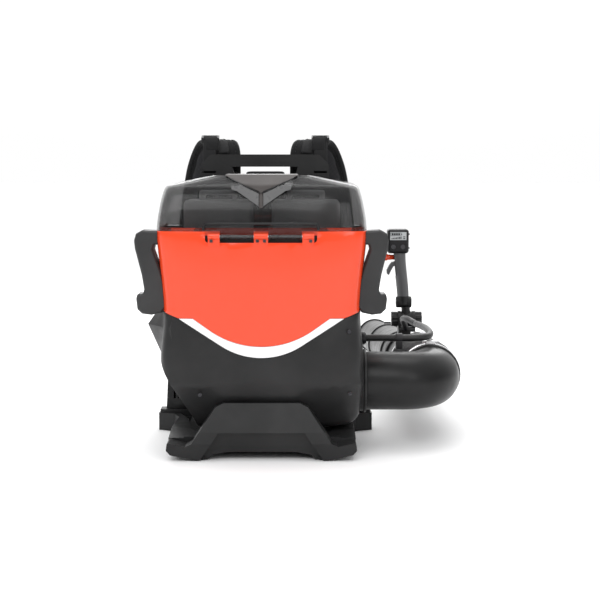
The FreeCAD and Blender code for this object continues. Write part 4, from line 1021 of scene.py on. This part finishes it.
def screw_heads(name, places, radius, axis, body, material):
    """Socket screw heads: a domed disc with a hexagon recess."""
    points = 24
    verts, faces = [], []
    turn = Vector((0, 0, 1)).rotation_difference(Vector(axis)).to_matrix()
    profile = ((radius, 0.0), (radius, 1.4), (radius * 0.86, 2.0), (radius * 0.5, 2.1))
    for place in places:
        base = len(verts)
        for r, h in profile:
            for k in range(points):
                t = 2 * math.pi * k / points
                spot = turn @ Vector((r * math.cos(t), r * math.sin(t), h))
                verts.append((Vector(place) + spot) * MM)
        for depth in (2.1, 0.8):
            for k in range(points):
                t = 2 * math.pi * k / points
                r = radius * 0.44 / math.cos((t + math.pi / 6) % (math.pi / 3) - math.pi / 6)
                spot = turn @ Vector((r * math.cos(t), r * math.sin(t), depth))
                verts.append((Vector(place) + spot) * MM)
        for ring in range(5):
            for k in range(points):
                n = (k + 1) % points
                a, b = base + ring * points, base + (ring + 1) * points
                faces.append((a + k, a + n, b + n, b + k))
        faces.append(tuple(base + 5 * points + k for k in range(points)))
        faces.append(tuple(base + k for k in reversed(range(points))))
    return placed(mesh_piece(name, verts, faces, material, smooth=False), body)


def make_screws():
    rear = [(152, -131, 112), (-106, -142, 112), (150, -146.5, 222)]
    screw_heads("rear_screws", rear, 3.4, (0, -1, 0), "backpack", MATERIALS["bolt"])
    front = [(x, 66, z) for x in (-150, 150) for z in (70, 180, 350)] + [(0, 66, 340), (0, 66, 75)]
    front = [p for p in front if p[0] > -140 or p[2] > 170]
    screw_heads("front_screws", front, 4, (0, 1, 0), "backpack", MATERIALS["bolt"])
    grille = []
    for k in range(6):
        t = math.radians(30 + 60 * k)
        grille.append((-20 + 73 * math.cos(t), 71, 205 + 73 * math.sin(t)))
    screw_heads("grille_screws", grille, 2.6, (0, 1, 0), "backpack", MATERIALS["bolt"])
    head = [(HEAD_BOX[1].x / MM, HEAD_BOX[0].y / MM + 19 + dy, z) for dy in (-9, 9) for z in (328, 357)]
    screw_heads("head_screws", head, 1.9, (1, 0, 0), "grip", MATERIALS["bolt"])


EDGES = {
    "base_stand": 3.0, "back_frame": 1.8, "side_handle_left": 2.2, "side_handle_right": 2.2,
    "upper_shell": 0.7, "rear_housing": 0.7, "front_housing": 0.8, "battery_lid": 0.7,
    "trim_strip": 0.6, "handle_bracket": 1.4, "control_grip": 0.8, "tilt_knobs": 0.8,
    "swivel_pipe": 1.0, "pipe_middle": 1.0, "nozzle": 1.0, "outlet_collar": 0.8, "elbow": 0.8,
    "hose_clamp_rear": 0.4, "hose_clamp_front": 0.4, "throttle_trigger": 0.7,
    "conduit_gland": 0.6, "intake_grille": 0.7, "battery_tray": 0.8, "lid_badge": 0.5,
    "power_button": 0.5, "mode_button": 0.5, "assembly_bolts": 0.5, "foot_pads": 0.5,
    "frame_bushes": 0.8, "strap_buckles": 0.5, "impeller_nut": 0.3, "fan_impeller": 0.4,
}


def soften_edges():
    """Round the moulding edges of the CAD nodes, by the width in millimetres of each."""
    for name, width in EDGES.items():
        add_bevel(NODES[name], width)


make_camera()
make_studio()
MATERIALS = make_materials()
dress_nodes(MATERIALS)
make_shoulder_strap()
make_hip_belt()
make_webbing()
make_belt_buckle()
make_back_pad()
make_hose()
make_conduit()
make_shell_lip()
make_hinge_trim()
make_lid_facets()
make_display()
make_thumb_knob()
make_screws()
soften_edges()
